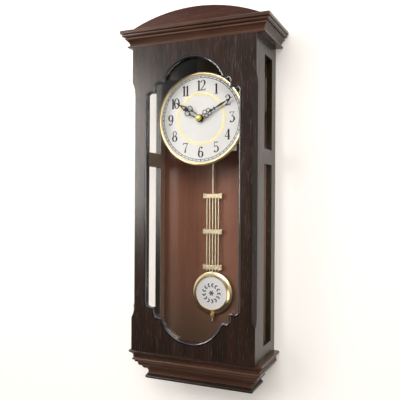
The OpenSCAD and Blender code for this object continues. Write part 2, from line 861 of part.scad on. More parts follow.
module door_panel() {
    color("#2d1712") difference() {
        translate([0, 0, door_mid_z]) facing(-door_back_y, door_t) difference() {
            square([case_w, 2 * door_half_h], center = true);
            translate([0, open_mid_z - door_mid_z]) opening(0);
        }
        box([-rebate_half_w, lip_back_y, open_mid_z - rebate_half_h],
            [rebate_half_w, door_back_y + cut, open_mid_z + rebate_half_h]);
        stopped_chamfer();
        mirror([1, 0, 0]) stopped_chamfer();
        for (z = hinge_z) leaf_pocket(z, hinge_y - leaf_play - leaf_t, leaf_t);
        for (p = door_screw_at) translate([p[0], p[1], p[2]]) rotate([-90, 0, 0]) screw_hole(6);
    }
}

// Heads of the screws that go into the door from behind: x, y of the seat, z
door_screw_at = concat(
    [for (z = hinge_z, s = [-1, 1])
        [leaf_screw_x, hinge_y - leaf_play - leaf_t, z + s * leaf_screw_step / 2]],
    [for (s = [-1, 1]) [catch_x, door_back_y, z_at(catch_h) + s * strike_screw]]);

// Round bars and bends in the plane of the door, for the bead's rounded front
module bead_bar(a, b, r) {
    d = b - a;
    translate([a[0], a[1], 0]) rotate([0, 0, atan2(d[1], d[0])]) rotate([0, 90, 0])
        cylinder(r = r, h = norm(d));
}

module bead_bend(c, radius, r, from, to) {
    translate([c[0], c[1], 0]) rotate([0, 0, from]) rotate_extrude(angle = to - from, $fn = 128)
        translate([radius, 0]) circle(r);
}

// The upper right quarter of the rounded front, with a ball at each cusp
module bead_quarter(r) {
    middle = bead_w / 2;
    side = open_half_w - middle;
    step = step_half_w - middle;
    top_1 = shoulder_1_h - middle;
    top_2 = shoulder_2_h - middle;
    turn_r = shoulder_r - middle;
    arch = asin((top_2 - arch_z) / (arch_r - middle));
    cusp = (arch_r - middle) * cos(arch);
    bead_bar([side, 0], [side, shoulder_1_h - shoulder_r], r);
    bead_bend([open_half_w - shoulder_r, shoulder_1_h - shoulder_r], turn_r, r, 0, 90);
    bead_bar([open_half_w - shoulder_r, top_1], [step, top_1], r);
    translate([step, top_1, 0]) rotate([90, 0, 45]) sphere(r + 0.1);
    bead_bar([step, top_1], [step, shoulder_2_h - shoulder_r], r);
    bead_bend([step_half_w - shoulder_r, shoulder_2_h - shoulder_r], turn_r, r, 0, 90);
    bead_bar([step_half_w - shoulder_r, top_2], [cusp, top_2], r);
    translate([cusp, top_2, 0]) rotate([90, 0, 45]) sphere(r + 0.1);
    bead_bend([0, arch_z], arch_r - middle, r, arch, 90);
}

module door_bead() {
    r = bead_w / 2 - 0.15;
    front = -door_front_y + bead_proud - r;
    color("#0d0908") translate([0, 0, open_mid_z]) {
        facing(-lip_back_y, front + lip_back_y) difference() {
            opening(0);
            opening(bead_w);
        }
        translate([0, -front, 0]) rotate([90, 0, 0])
            for (sx = [0, 1], sy = [0, 1]) mirror([sx, 0, 0]) mirror([0, sy, 0]) bead_quarter(r);
    }
}

module door_glass() {
    color([0.8, 0.85, 0.85, 0.3])
        box([-rebate_half_w + glass_play, lip_back_y, open_mid_z - rebate_half_h + glass_play],
            [rebate_half_w - glass_play, lip_back_y + glass_t, open_mid_z + rebate_half_h - glass_play]);
}

// Four square strips that hold the glass against the lip
module glass_stops() {
    y = lip_back_y + glass_t;
    color("#1a0f0c") for (s = [-1, 1]) {
        x = s * rebate_half_w;
        z = open_mid_z + s * rebate_half_h;
        box([min(x, x - s * stop_w), y, open_mid_z - rebate_half_h],
            [max(x, x - s * stop_w), y + stop_w, open_mid_z + rebate_half_h]);
        box([-rebate_half_w + stop_w, y, min(z, z - s * stop_w)],
            [rebate_half_w - stop_w, y + stop_w, max(z, z - s * stop_w)]);
    }
}

module strike_plate() {
    z = z_at(catch_h);
    color("silver") difference() {
        box([catch_x - strike_w / 2, door_back_y, z - strike_l / 2],
            [catch_x + strike_w / 2, door_back_y + strike_t, z + strike_l / 2]);
        for (s = [-1, 1]) translate([catch_x, door_back_y - cut, z + s * strike_screw])
            rotate([-90, 0, 0]) cylinder(r = screw_r + hole_play, h = strike_t + 2 * cut);
    }
}

// Screws that stay with the door: hinge leaves and strike plate
module door_screws() {
    color("gold") {
        for (z = hinge_z, s = [-1, 1])
            translate([leaf_screw_x, hinge_y - leaf_play - leaf_t, z + s * leaf_screw_step / 2])
                rotate([-90, 0, 0]) {
                    translate([0, 0, -6]) cylinder(r = screw_r, h = 6);
                    cylinder(r = screw_head_r, h = leaf_t);
                }
        for (s = [-1, 1]) translate([catch_x, door_back_y, z_at(catch_h) + s * strike_screw])
            rotate([-90, 0, 0]) {
                translate([0, 0, -6]) cylinder(r = screw_r, h = 6 + strike_t);
                translate([0, 0, strike_t]) cylinder(r = screw_head_r * 0.8, h = 0.6);
            }
    }
}

// Bearer and dial

module bearer_board() {
    color("#3a2217") difference() {
        box([-inner_half_w, -bearer_y, z_at(bearer_h)],
            [inner_half_w, -bearer_back_y, z_at(bearer_h + bearer_w)]);
        for (p = pillar_at) towards_viewer(p[0], bearer_back_y - cut, dial_z + p[1])
            cylinder(r = screw_r + hole_play, h = bearer_t + 2 * cut);
    }
}

module bearer_cleats() {
    color("#8a6a48") for (s = [-1, 1]) {
        x = s * inner_half_w;
        box([min(x, x - s * cleat_w), -bearer_back_y, z_at(bearer_mid_h - cleat_h / 2)],
            [max(x, x - s * cleat_w), -(bearer_back_y - cleat_d), z_at(bearer_mid_h + cleat_h / 2)]);
    }
}

module dial_pillars() {
    l = dial_back_y - bearer_y;
    color("goldenrod") for (p = pillar_at) towards_viewer(p[0], bearer_y, dial_z + p[1])
        rotate_extrude() difference() {
            square([pillar_r, l]);
            translate([pillar_r - pillar_waist, l * 0.2]) square([pillar_waist + cut, l * 0.6]);
            translate([-cut, -cut]) square([cut + screw_r + hole_play, cut + pillar_bore_l]);
        }
}

module pillar_screws() {
    color("silver") for (p = pillar_at) towards_viewer(p[0], bearer_back_y, dial_z + p[1]) {
        cylinder(r = screw_r, h = bearer_t + pillar_screw_in);
        translate([0, 0, -screw_head_h]) cylinder(r = screw_head_r, h = screw_head_h);
    }
}

module dial_plate() {
    color("white") towards_viewer(0, dial_back_y, dial_z)
        linear_extrude(dial_t) ring(dial_plate_r, bush_r + 0.1);
}

module dial_bezel() {
    r = bezel_w / 2;
    color("gold") towards_viewer(0, dial_back_y - bezel_back, dial_z) rotate_extrude($fn = 180) {
        intersection() {
            translate([bezel_r - r, bezel_back + dial_t]) circle(r);
            translate([bezel_r - bezel_w, bezel_back + dial_t]) square([bezel_w, bezel_front]);
        }
        translate([bezel_r - 0.8, 0]) square([0.8, bezel_back + dial_t + 0.5]);
    }
}

module dial_ring() {
    color("gold") towards_viewer(0, dial_y, dial_z)
        linear_extrude(0.3) ring(ring_r + ring_w / 2, ring_r - ring_w / 2);
}

module dial_washer() {
    color("#222222") towards_viewer(0, move_front_y, dial_z)
        linear_extrude(washer_t) ring(bush_r * 3, bush_r + 0.05);
}

module dial_nut() {
    color("gold") towards_viewer(0, dial_y, dial_z) difference() {
        cylinder(r = 7, h = nut_t, $fn = 6);
        translate([0, 0, -cut]) cylinder(r = bush_r + 0.05, h = nut_t + 2 * cut);
    }
}

// Movement; everything is drawn about the minute arbor, with Z towards the viewer

module in_movement(y) { towards_viewer(0, y, dial_z) children(); }

module plate(w, t) { translate([-w / 2, -w / 2, 0]) cube([w, w, t]); }

module movement_case() {
    d = move_front_y - split_y;
    inner = move_w - 2 * move_wall;
    color("#161616") in_movement(split_y) difference() {
        union() {
            difference() {
                plate(move_w, d);
                translate([0, 0, -cut]) plate(inner, d - move_wall + cut);
            }
            cylinder(r = bush_r, h = bush_end_y - split_y);
        }
        translate([0, 0, -cut]) cylinder(r = bush_r + cut, h = d - move_wall + cut);
        cylinder(r = bush_bore, h = far);
        for (x = [arbor_gap, knob_x]) translate([x, 0, d - move_wall - cut])
            cylinder(r = idler_arbor_r + run_clear, h = cut + pivot_l + 0.2);
    }
}

module movement_cover() {
    d = split_y - move_rear_y;
    inner = move_w - 2 * move_wall;
    color("#161616") in_movement(move_rear_y) difference() {
        plate(move_w, d);
        translate([0, 0, move_wall]) plate(inner, d);
        translate([0, 0, move_wall - pivot_l - 0.2]) cylinder(r = arbor_r * 0.6 + run_clear, h = d);
        translate([arbor_gap, 0, move_wall - pivot_l - 0.2]) cylinder(r = idler_arbor_r + run_clear, h = d);
        translate([knob_x, 0, -cut]) cylinder(r = knob_stem_r + run_clear, h = d);
        translate([-battery_l / 2 - 1.5, battery_z - battery_r - bay_play, -cut])
            cube([battery_l + 3, 2 * (battery_r + bay_play), move_wall + 2 * cut]);
    }
}

module motor_module() {
    color("ivory") in_movement(move_rear_y + move_wall) translate([-26, 12, 0]) cube([24, 15, 11]);
}

module circuit_board() {
    color("darkgreen") in_movement(move_rear_y + move_wall) translate([2, 13, 0]) cube([24, 14, 1.2]);
}

module battery() {
    nub = 1.2;
    color("dimgray") translate([-battery_l / 2, -battery_y, dial_z + battery_z]) rotate([0, 90, 0]) {
        cylinder(r = battery_r, h = battery_l - nub);
        cylinder(r = 2.6, h = battery_l);
    }
}

// Spring strips at the two ends of the battery
module battery_contacts() {
    color("silver") for (s = [-1, 1]) {
        x = s * battery_l / 2;
        out = x + s * 0.4;
        foot = s * (move_w / 2 - move_wall);
        low = dial_z + battery_z - 5;
        box([min(x, out), -battery_y - 4, low], [max(x, out), -battery_y + 4, low + 10]);
        box([min(x, foot), -battery_y + 3.6, low], [max(x, foot), -battery_y + 4, low + 10]);
    }
}

// Spur wheel with n teeth of module m, a tooth or a gap on the +X axis
module spur(n, m, t, gap_first = 0) {
    root_r = m * (n / 2 - 1.15);
    tip_r = m * (n / 2 + 0.75);
    pitch_a = 360 / n;
    flank_r = m * n / 2;
    tooth = [[root_r, -0.30], [flank_r, -0.19], [tip_r, -0.08], [tip_r, 0.08], [flank_r, 0.19],
        [root_r, 0.30]];
    linear_extrude(t) polygon([for (i = [0 : n - 1]) let (a = (i + gap_first / 2) * pitch_a)
        for (p = tooth) p[0] * [cos(a + p[1] * pitch_a), sin(a + p[1] * pitch_a)]]);
}

module minute_arbor() {
    l = cap_y + 2 - move_rear_y - move_wall;
    color("gold") in_movement(move_rear_y + move_wall) {
        translate([0, 0, -pivot_l]) cylinder(r = arbor_r * 0.6, h = pivot_l);
        cylinder(r = arbor_r, h = l);
        translate([0, 0, idler_y - wheel_t - move_rear_y - move_wall]) spur(pinion_teeth, m_first, wheel_t);
    }
}

module idler_wheel() {
    l = move_front_y - move_wall - move_rear_y - move_wall;
    base = move_rear_y + move_wall;
    color("gold") in_movement(base) translate([arbor_gap, 0, 0]) {
        translate([0, 0, -pivot_l]) cylinder(r = idler_arbor_r, h = l + 2 * pivot_l);
        translate([0, 0, idler_y - wheel_t - base]) spur(idler_teeth, m_first, wheel_t, 1);
        translate([0, 0, idler_y - base - 0.1]) cylinder(r = 1.2, h = 0.8);
        translate([0, 0, hour_wheel_y - wheel_t - base - 0.1])
            spur(idler_pinion_teeth, m_second, wheel_t + 0.2);
    }
}

module hour_wheel() {
    l = hour_hand_y + hand_t - hour_wheel_y + wheel_t;
    color("ivory") in_movement(hour_wheel_y - wheel_t) difference() {
        union() {
            spur(hour_teeth, m_second, wheel_t, 1);
            cylinder(r = hour_tube_r, h = l);
        }
        translate([0, 0, -cut]) cylinder(r = arbor_r + run_clear, h = l + 2 * cut);
    }
}

// Setting knob behind the cover, with a stem and a pinion that meets the idler wheel
module setting_knob() {
    base = move_rear_y;
    top = move_front_y - move_wall - base;
    color("#303030") in_movement(base) translate([knob_x, 0, 0]) {
        translate([0, 0, -knob_h - 0.3]) linear_extrude(knob_h) {
            circle(knob_r);
            for (i = [0 : 11]) rotate(i * 30) translate([knob_r, 0]) circle(0.4, $fn = 16);
        }
        translate([0, 0, -0.4]) cylinder(r = knob_stem_r, h = idler_y - base - wheel_t + 0.5);
        translate([0, 0, idler_y - wheel_t - base]) spur(pinion_teeth, m_first, wheel_t);
        translate([0, 0, idler_y - base - 0.1])
            cylinder(r = idler_arbor_r, h = top - (idler_y - base) + 0.1 + pivot_l);
    }
}

// Hands, drawn pointing up

// Pointed oval that stands on the origin's level, half width w and half length l
module lens(w, l) {
    r = (w * w + l * l) / (2 * w);
    intersection() {
        translate([r - w, 0]) circle(r, $fn = 180);
        translate([w - r, 0]) circle(r, $fn = 180);
    }
}

// Cuts each of its children from sheet of thickness t, enlarged by the factor k
module sheet(t, k = 1) {
    for (i = [0 : $children - 1]) linear_extrude(t) scale(k) children(i);
}

module hour_hand() {
    drawn_l = 57;
    k = hour_l / drawn_l;
    color("#111111") in_movement(hour_hand_y) rotate([0, 0, -hour_at]) difference() {
        union() {
            linear_extrude(hand_t) circle(hour_boss_r);
            for (s = [0, 1]) mirror([s, 0, 0]) sheet(hand_t, k) {
                polygon([[2, 5.5], [3.6, 5.5], [4.9, 20], [3.3, 20]]);
                translate([3.5, 11.4]) circle(1.5);
                translate([4.1, 20]) circle(2.2);
                translate([5, 25.8]) ring(5.3, 3.9);
            }
            sheet(hand_t, k) difference() {
                polygon([[0, 26.4], [4.4, 33], [4.8, 35], [3.1, 39], [1.1, 45], [0.9, 48], [2, 50.4],
                    [0.2, drawn_l], [-0.2, drawn_l], [-2, 50.4], [-0.9, 48], [-1.1, 45], [-3.1, 39],
                    [-4.8, 35], [-4.4, 33]]);
                polygon([[0, 41.6], [2.5, 35.6], [-2.5, 35.6]]);
            }
        }
        translate([0, 0, -cut]) cylinder(r = hour_tube_r, h = hand_t + 2 * cut);
    }
}

module minute_hand() {
    drawn_l = 73;
    k = minute_l / drawn_l;
    color("#111111") in_movement(minute_hand_y) rotate([0, 0, -minute_at]) difference() {
        union() {
            linear_extrude(hand_t) circle(minute_boss_r);
            for (s = [0, 1]) mirror([s, 0, 0]) sheet(hand_t, k) {
                polygon([[0.6, 5.6], [2.6, 5.6], [3.6, 11], [1.6, 11]]);
                translate([3.9, 14.4]) ring(4.2, 2.9);
                translate([3.3, 21.8]) ring(3.8, 2.5);
                translate([1.5, 61.4]) circle(1.2);
            }
            sheet(hand_t, k) {
                polygon([[0, 22.4], [2.6, 26.4], [0.8, 30.6], [0.8, 34], [-0.8, 34], [-0.8, 30.6],
                    [-2.6, 26.4]]);
                polygon([[0, 31], [3.6, 32.8], [2.8, 34.4], [0, 35.6], [-2.8, 34.4], [-3.6, 32.8]]);
                translate([0, 47]) lens(1.9, 14.5);
                polygon([[-0.8, 59], [0.8, 59], [1.1, 62.4], [0.2, drawn_l], [-0.2, drawn_l],
                    [-1.1, 62.4]]);
            }
        }
        translate([0, 0, -cut]) cylinder(r = arbor_r, h = hand_t + 2 * cut);
    }
}

module hand_cap() {
    ball_r = cap_r * 1.1;
    color("gold") in_movement(cap_y) difference() {
        intersection() {
            translate([0, 0, cap_h - ball_r]) sphere(ball_r);
            cylinder(r = cap_r, h = cap_h);
        }
        translate([0, 0, -cut]) cylinder(r = arbor_r, h = cut + cap_bore_l);
    }
}

// Pendulum drive on the back of the bearer board

module drive_case() {
    wall = drive_wall;
    color("#161616") {
        difference() {
            box([-drive_w / 2, -bearer_back_y, z_at(drive_bot_h)],
                [drive_w / 2, -(bearer_back_y - drive_t), z_at(drive_bot_h + drive_h)]);
            box([-drive_w / 2 + wall, -bearer_back_y - cut, z_at(drive_bot_h) + wall],
                [drive_w / 2 - wall, -(bearer_back_y - drive_t) - wall, z_at(drive_bot_h + drive_h) - wall]);
        }
        translate([0, -(bearer_back_y - drive_t) - wall, z_at(pivot_h)]) rotate([-90, 0, 0])
            cylinder(r = pivot_r, h = wall + arm_gap + arm_t + 1.5);
        translate([0, -arm_y + arm_t + 0.4, z_at(pivot_h)]) rotate([-90, 0, 0])
            cylinder(r = pivot_r + 1, h = 0.8);
    }
}

module drive_coil() {
    color("sienna") translate([0, -bearer_back_y, z_at(drive_bot_h + 9)]) rotate([-90, 0, 0])
        linear_extrude(drive_t - drive_wall) ring(6.5, 2.5);
}

// Swinging arm with its hub, its magnet and the hook pin that carries the rods
module pendulum_arm() {
    z = z_at(pivot_h);
    color("gold") {
        translate([0, -arm_y, z]) rotate([-90, 0, 0]) linear_extrude(arm_t) difference() {
            union() {
                circle(4);
                translate([-arm_w / 2, 0]) square([arm_w, arm_l]);
                translate([0, arm_l]) circle(arm_w / 2);
            }
            circle(pivot_r + run_clear);
        }
        translate([0, -arm_y, z - arm_l]) rotate([-90, 0, 0]) {
            cylinder(r = hook_r, h = arm_y - pend_y + rod_r + 1);
            translate([0, 0, arm_y - pend_y + rod_r + 0.6]) cylinder(r = hook_r + 1, h = 0.8);
        }
    }
}

// Height of the eye's centre when it hangs on the hook pin
eye_z = z_at(pivot_h) - arm_l - (eye_bore - hook_r) + 0.02;

module rod(x, top, bottom) { translate([x, -pend_y, bottom]) cylinder(r = rod_r, h = top - bottom); }

module pendulum_rods() {
    top = z_at(bar_top_h) + bar_waist / 2 - 0.6;
    bottom = z_at(bar_top_h - 2 * bar_step) - bar_waist / 2 - rod_stub;
    color("gold") difference() {
        union() {
            rod(0, eye_z - eye_bore, tip_z);
            translate([0, -pend_y, tip_z - 0.6]) cylinder(r1 = rod_r - 0.5, r2 = rod_r, h = 0.6);
            for (i = [-2, -1, 1, 2]) rod(i * rod_gap, top, bottom);
            translate([0, -pend_y - eye_t / 2, eye_z]) rotate([-90, 0, 0]) cylinder(r = eye_r, h = eye_t);
        }
        translate([0, -pend_y - rod_r - cut, eye_z]) rotate([-90, 0, 0])
            cylinder(r = eye_bore, h = 2 * rod_r + 2 * cut);
    }
}

// Outline of a cross bar with fishtail ends
module bar_shape() {
    difference() {
        union() {
            square([2 * bar_half_l - 4, bar_waist], center = true);
            for (sx = [-1, 1], sy = [-1, 1])
                translate([sx * (bar_half_l - 2.6), sy * (bar_end / 2 - 2.6)]) circle(2.6);
            square([2 * (bar_half_l - 1), bar_end - 5], center = true);
        }
        for (s = [-1, 1]) {
            translate([s * (bar_half_l + 0.6), 0]) circle(1.5);
            for (t = [-1, 1]) translate([s * (bar_half_l - 6.8), t * (bar_waist / 2 + 1.2)]) circle(2);
        }
    }
}

// Each cross bar is a front and a back plate with the rods held between them
module cross_bars() {
    color("gold") for (i = [0 : 2]) translate([0, 0, z_at(bar_top_h - i * bar_step)]) {
        facing(pend_y + rod_r, bar_t) bar_plate();
        facing(pend_y - rod_r - bar_t, bar_t) bar_plate();
    }
}

module bar_plate() {
    difference() {
        bar_shape();
        for (s = [-1, 1]) translate([s * rivet_x, 0]) circle(0.8 + hole_play);
    }
}

module bar_rivets() {
    reach = rod_r + bar_t;
    color("gold") for (i = [0 : 2], s = [-1, 1])
        towards_viewer(s * rivet_x, pend_y - reach, z_at(bar_top_h - i * bar_step)) {
            cylinder(r = 0.8, h = 2 * reach);
            translate([0, 0, 2 * reach]) cylinder(r = 1.3, h = 0.5);
            translate([0, 0, -0.5]) cylinder(r = 1.3, h = 0.5);
        }
}

// Bob: a domed rim that holds the white disc, on a thick back plate

// Section of the rim: an arc from the disc's edge back to the bob's edge
module rim_section() {
    top = [disc_r, bob_t];
    edge = [bob_r, bob_back_t];
    arc = arc_centre(edge, top, 1.1);
    intersection() {
        translate([arc[0], arc[1]]) ring(arc[2], arc[2] - bob_wall);
        polygon([[disc_r, bob_t + cut], [disc_r, bob_t - rim_lip_depth], [bob_r - 3, bob_back_t],
            [bob_r, bob_back_t], [bob_r, bob_t + cut]]);
    }
    translate([disc_r - rim_lip, bob_t - rim_lip_depth]) square([2 * rim_lip, rim_lip_t]);
}

module bob_rim() {
    color("gold") difference() {
        towards_viewer(0, bob_back_y, bob_z) rotate_extrude($fn = 128) rim_section();
        translate([0, -pend_y, bob_z - bob_r - cut]) cylinder(r = rod_r + rod_play, h = 2 * bob_r + 2 * cut);
    }
}

module bob_back() {
    color("goldenrod") towards_viewer(0, bob_back_y, bob_z) rotate_extrude($fn = 128)
        polygon([[0, 0], [bob_r - 1.6, 0], [bob_r, 1.6], [bob_r, bob_back_t], [0, bob_back_t]]);
}

module bob_disc() {
    color("white") towards_viewer(0, bob_back_y + bob_t - rim_lip_depth + rim_lip_t, bob_z)
        cylinder(r = disc_r, h = bob_disc_t, $fn = 128);
}

module rating_nut() {
    color("gold") translate([0, -pend_y, nut_top_z - nut_h]) difference() {
        union() {
            rotate_extrude() polygon([[0, 0], [nut_r - 0.8, 0], [nut_r, 0.8], [nut_r, nut_h - 1.4],
                [nut_r - 1, nut_h - 0.8], [nut_r - 1, nut_h], [0, nut_h]]);
            for (i = [0 : 15]) rotate([0, 0, i * 22.5]) translate([nut_r, 0, 0.9])
                cylinder(r = 0.3, h = nut_h - 2.5, $fn = 16);
        }
        translate([0, 0, -cut]) cylinder(r = rod_r + run_clear, h = nut_h + 2 * cut);
    }
}

back_panel();
side_frame_left();
side_frame_right();
top_board();
cornice_front();
cornice_left();
cornice_right();
pediment();
base_plate();
base_moulding_front();
base_moulding_left();
base_moulding_right();
plinth_board();
glue_blocks();
hanger_block();
hanger_plate();
case_screws();
hinge_case_leaves();
hinge_pins();
catch_body();
catch_magnet();
door_panel();
door_bead();
door_glass();
glass_stops();
hinge_door_leaves();
strike_plate();
door_screws();
bearer_board();
bearer_cleats();
dial_pillars();
pillar_screws();
dial_plate();
dial_bezel();
dial_ring();
dial_washer();
dial_nut();
movement_case();
movement_cover();
motor_module();
circuit_board();
battery();
battery_contacts();
minute_arbor();
idler_wheel();
hour_wheel();
setting_knob();
hour_hand();
minute_hand();
hand_cap();
drive_case();
drive_coil();
pendulum_arm();
pendulum_rods();
cross_bars();
bar_rivets();
bob_rim();
bob_back();
bob_disc();
rating_nut();
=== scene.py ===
"""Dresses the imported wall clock: stained wood, plated metal, the printed dial, and a plain studio."""

import logging
import math
from dataclasses import dataclass
from enum import Enum
from functools import cache
from typing import ClassVar, Iterable, Sequence

import bmesh
import bpy
from mathutils import Euler, Matrix, Vector


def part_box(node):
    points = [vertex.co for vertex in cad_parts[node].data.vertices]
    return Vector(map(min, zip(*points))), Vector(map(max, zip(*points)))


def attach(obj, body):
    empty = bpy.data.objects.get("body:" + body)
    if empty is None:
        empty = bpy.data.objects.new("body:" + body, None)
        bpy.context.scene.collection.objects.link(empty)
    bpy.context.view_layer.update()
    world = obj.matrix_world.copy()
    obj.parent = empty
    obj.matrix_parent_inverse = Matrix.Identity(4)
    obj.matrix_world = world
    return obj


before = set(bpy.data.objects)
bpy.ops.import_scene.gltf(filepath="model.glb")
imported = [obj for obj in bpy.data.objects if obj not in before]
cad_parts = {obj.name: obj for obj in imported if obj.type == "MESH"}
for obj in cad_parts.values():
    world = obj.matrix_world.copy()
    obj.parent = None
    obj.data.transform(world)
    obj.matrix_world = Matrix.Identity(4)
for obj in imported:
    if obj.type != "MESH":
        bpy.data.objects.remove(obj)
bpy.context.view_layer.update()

LOG = logging.getLogger("clock")
MM = 0.001
RGB = tuple[float, float, float]
Point = tuple[float, float, float]
Node = bpy.types.Node
Plug = bpy.types.NodeSocket
Tree = bpy.types.NodeTree
Source = Plug | float | RGB
WHITE: RGB = (1.0, 1.0, 1.0)


class Grain(Enum):
    """The row axis that the wood's grain follows."""

    ACROSS = "x"
    DEEP = "y"
    UPRIGHT = "z"


class Body(Enum):
    """The CAD bodies that new pieces ride on."""

    CASE = "case"
    DOOR = "door"
    BOB = "bob"


# Shader nodes and the node groups that several finishes share


@dataclass(frozen=True)
class Socket:
    """One named input of a node group, with its default."""

    name: str
    kind: str
    value: object = None


COLOUR, NUMBER, VECTOR = "NodeSocketColor", "NodeSocketFloat", "NodeSocketVector"


class Group:
    """A shader node group that is built once and placed in many materials."""

    def __init__(self, name: str, inputs: Sequence[Socket], outputs: Sequence[Socket]) -> None:
        """Makes the empty group with its sockets.

        Args:
            name: the group's name.
            inputs: the sockets that a material sets.
            outputs: the sockets that a material reads.
        """
        self.tree = bpy.data.node_groups.new(name, "ShaderNodeTree")
        for item in inputs:
            made = self.tree.interface.new_socket(name=item.name, in_out="INPUT", socket_type=item.kind)
            if item.value is not None:
                made.default_value = item.value
        for item in outputs:
            self.tree.interface.new_socket(name=item.name, in_out="OUTPUT", socket_type=item.kind)
        self.source = self.tree.nodes.new("NodeGroupInput")
        self.sink = self.tree.nodes.new("NodeGroupOutput")

    def place(self, tree: Tree) -> Node:
        """Adds the group to a tree.

        Args:
            tree: the tree that gets it.

        Returns:
            The new node that stands for the group.
        """
        node = tree.nodes.new("ShaderNodeGroup")
        node.node_tree = self.tree
        return node


def feed(tree: Tree, source: Source, target: Plug) -> None:
    """Links a socket to an input, or sets the input to a number or a colour.

    Args:
        tree: the tree of both.
        source: a socket, a number or a colour.
        target: the input that gets it.
    """
    if isinstance(source, Plug):
        tree.links.new(source, target)
    else:
        target.default_value = (*source, 1) if isinstance(source, tuple) else source


def feed_all(tree: Tree, node: Node, sources: dict[str, Source]) -> None:
    """Links or sets the named inputs of a node."""
    for name, source in sources.items():
        feed(tree, source, node.inputs[name])


def remap(tree: Tree, value: Plug, low: float, high: float, to_low: float = 0.0, to_high: float = 1.0) -> Plug:
    """Maps a value from one range to another, clamped.

    Args:
        tree: the tree that gets the node.
        value: the socket to map.
        low: start of the range that comes in.
        high: end of that range.
        to_low: what low becomes.
        to_high: what high becomes.

    Returns:
        The mapped socket.
    """
    node = tree.nodes.new("ShaderNodeMapRange")
    feed_all(tree, node, {"Value": value, "From Min": low, "From Max": high, "To Min": to_low,
                          "To Max": to_high})
    return node.outputs["Result"]


def calc(tree: Tree, how: str, a: Plug, b: Plug | float) -> Plug:
    """Joins two values by a Math node.

    Args:
        tree: the tree that gets the node.
        how: the node's operation.
        a: the first value.
        b: the second value.

    Returns:
        The result's socket.
    """
    node = tree.nodes.new("ShaderNodeMath")
    node.operation = how
    feed(tree, a, node.inputs[0])
    feed(tree, b, node.inputs[1])
    return node.outputs["Value"]


def blend(tree: Tree, fac: Plug | float, a: Source, b: Source, kind: str = "RGBA") -> Plug:
    """Mixes two colours or two numbers.

    Args:
        tree: the tree that gets the node.
        fac: how much of b there is.
        a: what shows where fac is 0.
        b: what shows where fac is 1.
        kind: RGBA for colours and FLOAT for numbers.

    Returns:
        The result's socket.
    """
    node = tree.nodes.new("ShaderNodeMix")
    node.data_type = kind
    feed_all(tree, node, {"Factor": fac, "A": a, "B": b})
    return node.outputs["Result"]


@dataclass(frozen=True)
class Noise:
    """A noise texture: its scale per metre, its detail and how strong the finer steps are."""

    scale: float
    detail: float
    rough: float

    def place(self, tree: Tree, vector: Plug) -> Plug:
        """Adds the texture to a tree.

        Args:
            tree: the tree that gets it.
            vector: the socket that gives its coordinates.

        Returns:
            Its value, from 0 to 1.
        """
        node = tree.nodes.new("ShaderNodeTexNoise")
        feed_all(tree, node, {"Vector": vector, "Scale": self.scale, "Detail": self.detail,
                              "Roughness": self.rough})
        return node.outputs["Fac"]


@dataclass(frozen=True)
class GrainNoise(Noise):
    """A noise texture that is drawn out along the grain, by a scale of its own on that axis."""

    along: float

    def place(self, tree: Tree, vector: Plug) -> Plug:
        """Adds the texture to a tree.

        Args:
            tree: the tree that gets it.
            vector: the coordinates, with the grain along Z.

        Returns:
            Its value, from 0 to 1.
        """
        drawn = tree.nodes.new("ShaderNodeMapping")
        drawn.inputs["Scale"].default_value = (1, 1, self.along)
        feed(tree, vector, drawn.inputs["Vector"])
        return super().place(tree, drawn.outputs["Vector"])


@dataclass(frozen=True)
class GrainPattern:
    """How stained wood looks close up: broad streaks, fine grain, open pores and mottling."""

    broad: Noise = GrainNoise(70, 5, 0.6, 0.05)
    fine: Noise = GrainNoise(620, 3, 0.6, 0.022)
    pores: Noise = GrainNoise(780, 2, 0.5, 0.055)
    mottle: Noise = Noise(9, 3, 0.5)
    streak_range: tuple[float, float] = (0.60, 0.95)
    grain_range: tuple[float, float] = (0.36, 0.66)
    pore_range: tuple[float, float] = (0.61, 0.70)
    mottle_share: float = 0.5
    grain_share: float = 0.45
    pore_rough: float = 0.18
    mottle_rough: float = 0.08
    grain_height: float = 0.35

    def group(self) -> Group:
        """Makes the node group that every stained wood shares.

        Returns:
            The group.
        """
        group = Group(
            "stained_grain",
            [Socket("Vector", VECTOR), Socket("Ground", COLOUR), Socket("Streak", COLOUR),
             Socket("Pore", COLOUR), Socket("Streaks", NUMBER, 0.6), Socket("Pores", NUMBER, 0.5),
             Socket("Gloss", NUMBER, 0.3)],
            [Socket("Color", COLOUR), Socket("Roughness", NUMBER), Socket("Height", NUMBER)])
        tree, given, result = group.tree, group.source.outputs, group.sink.inputs
        broad, fine, pores, mottle = (texture.place(tree, given["Vector"])
                                      for texture in (self.broad, self.fine, self.pores, self.mottle))
        wave = calc(tree, "ADD", broad, calc(tree, "MULTIPLY", mottle, self.mottle_share))
        grain = remap(tree, fine, *self.grain_range)
        streak = calc(tree, "ADD", calc(tree, "MULTIPLY", grain, self.grain_share),
                      remap(tree, wave, *self.streak_range))
        streak = calc(tree, "MULTIPLY", streak, given["Streaks"])
        holes = remap(tree, pores, *self.pore_range)
        ground = blend(tree, streak, given["Ground"], given["Streak"])
        marks = calc(tree, "MULTIPLY", holes, given["Pores"])
        feed(tree, blend(tree, marks, ground, given["Pore"]), result["Color"])
        rough = calc(tree, "ADD", given["Gloss"], calc(tree, "MULTIPLY", holes, self.pore_rough))
        rough = calc(tree, "ADD", rough, calc(tree, "MULTIPLY", mottle, self.mottle_rough))
        feed(tree, rough, result["Roughness"])
        height = calc(tree, "SUBTRACT", calc(tree, "MULTIPLY", grain, self.grain_height), holes)
        feed(tree, height, result["Height"])
        return group


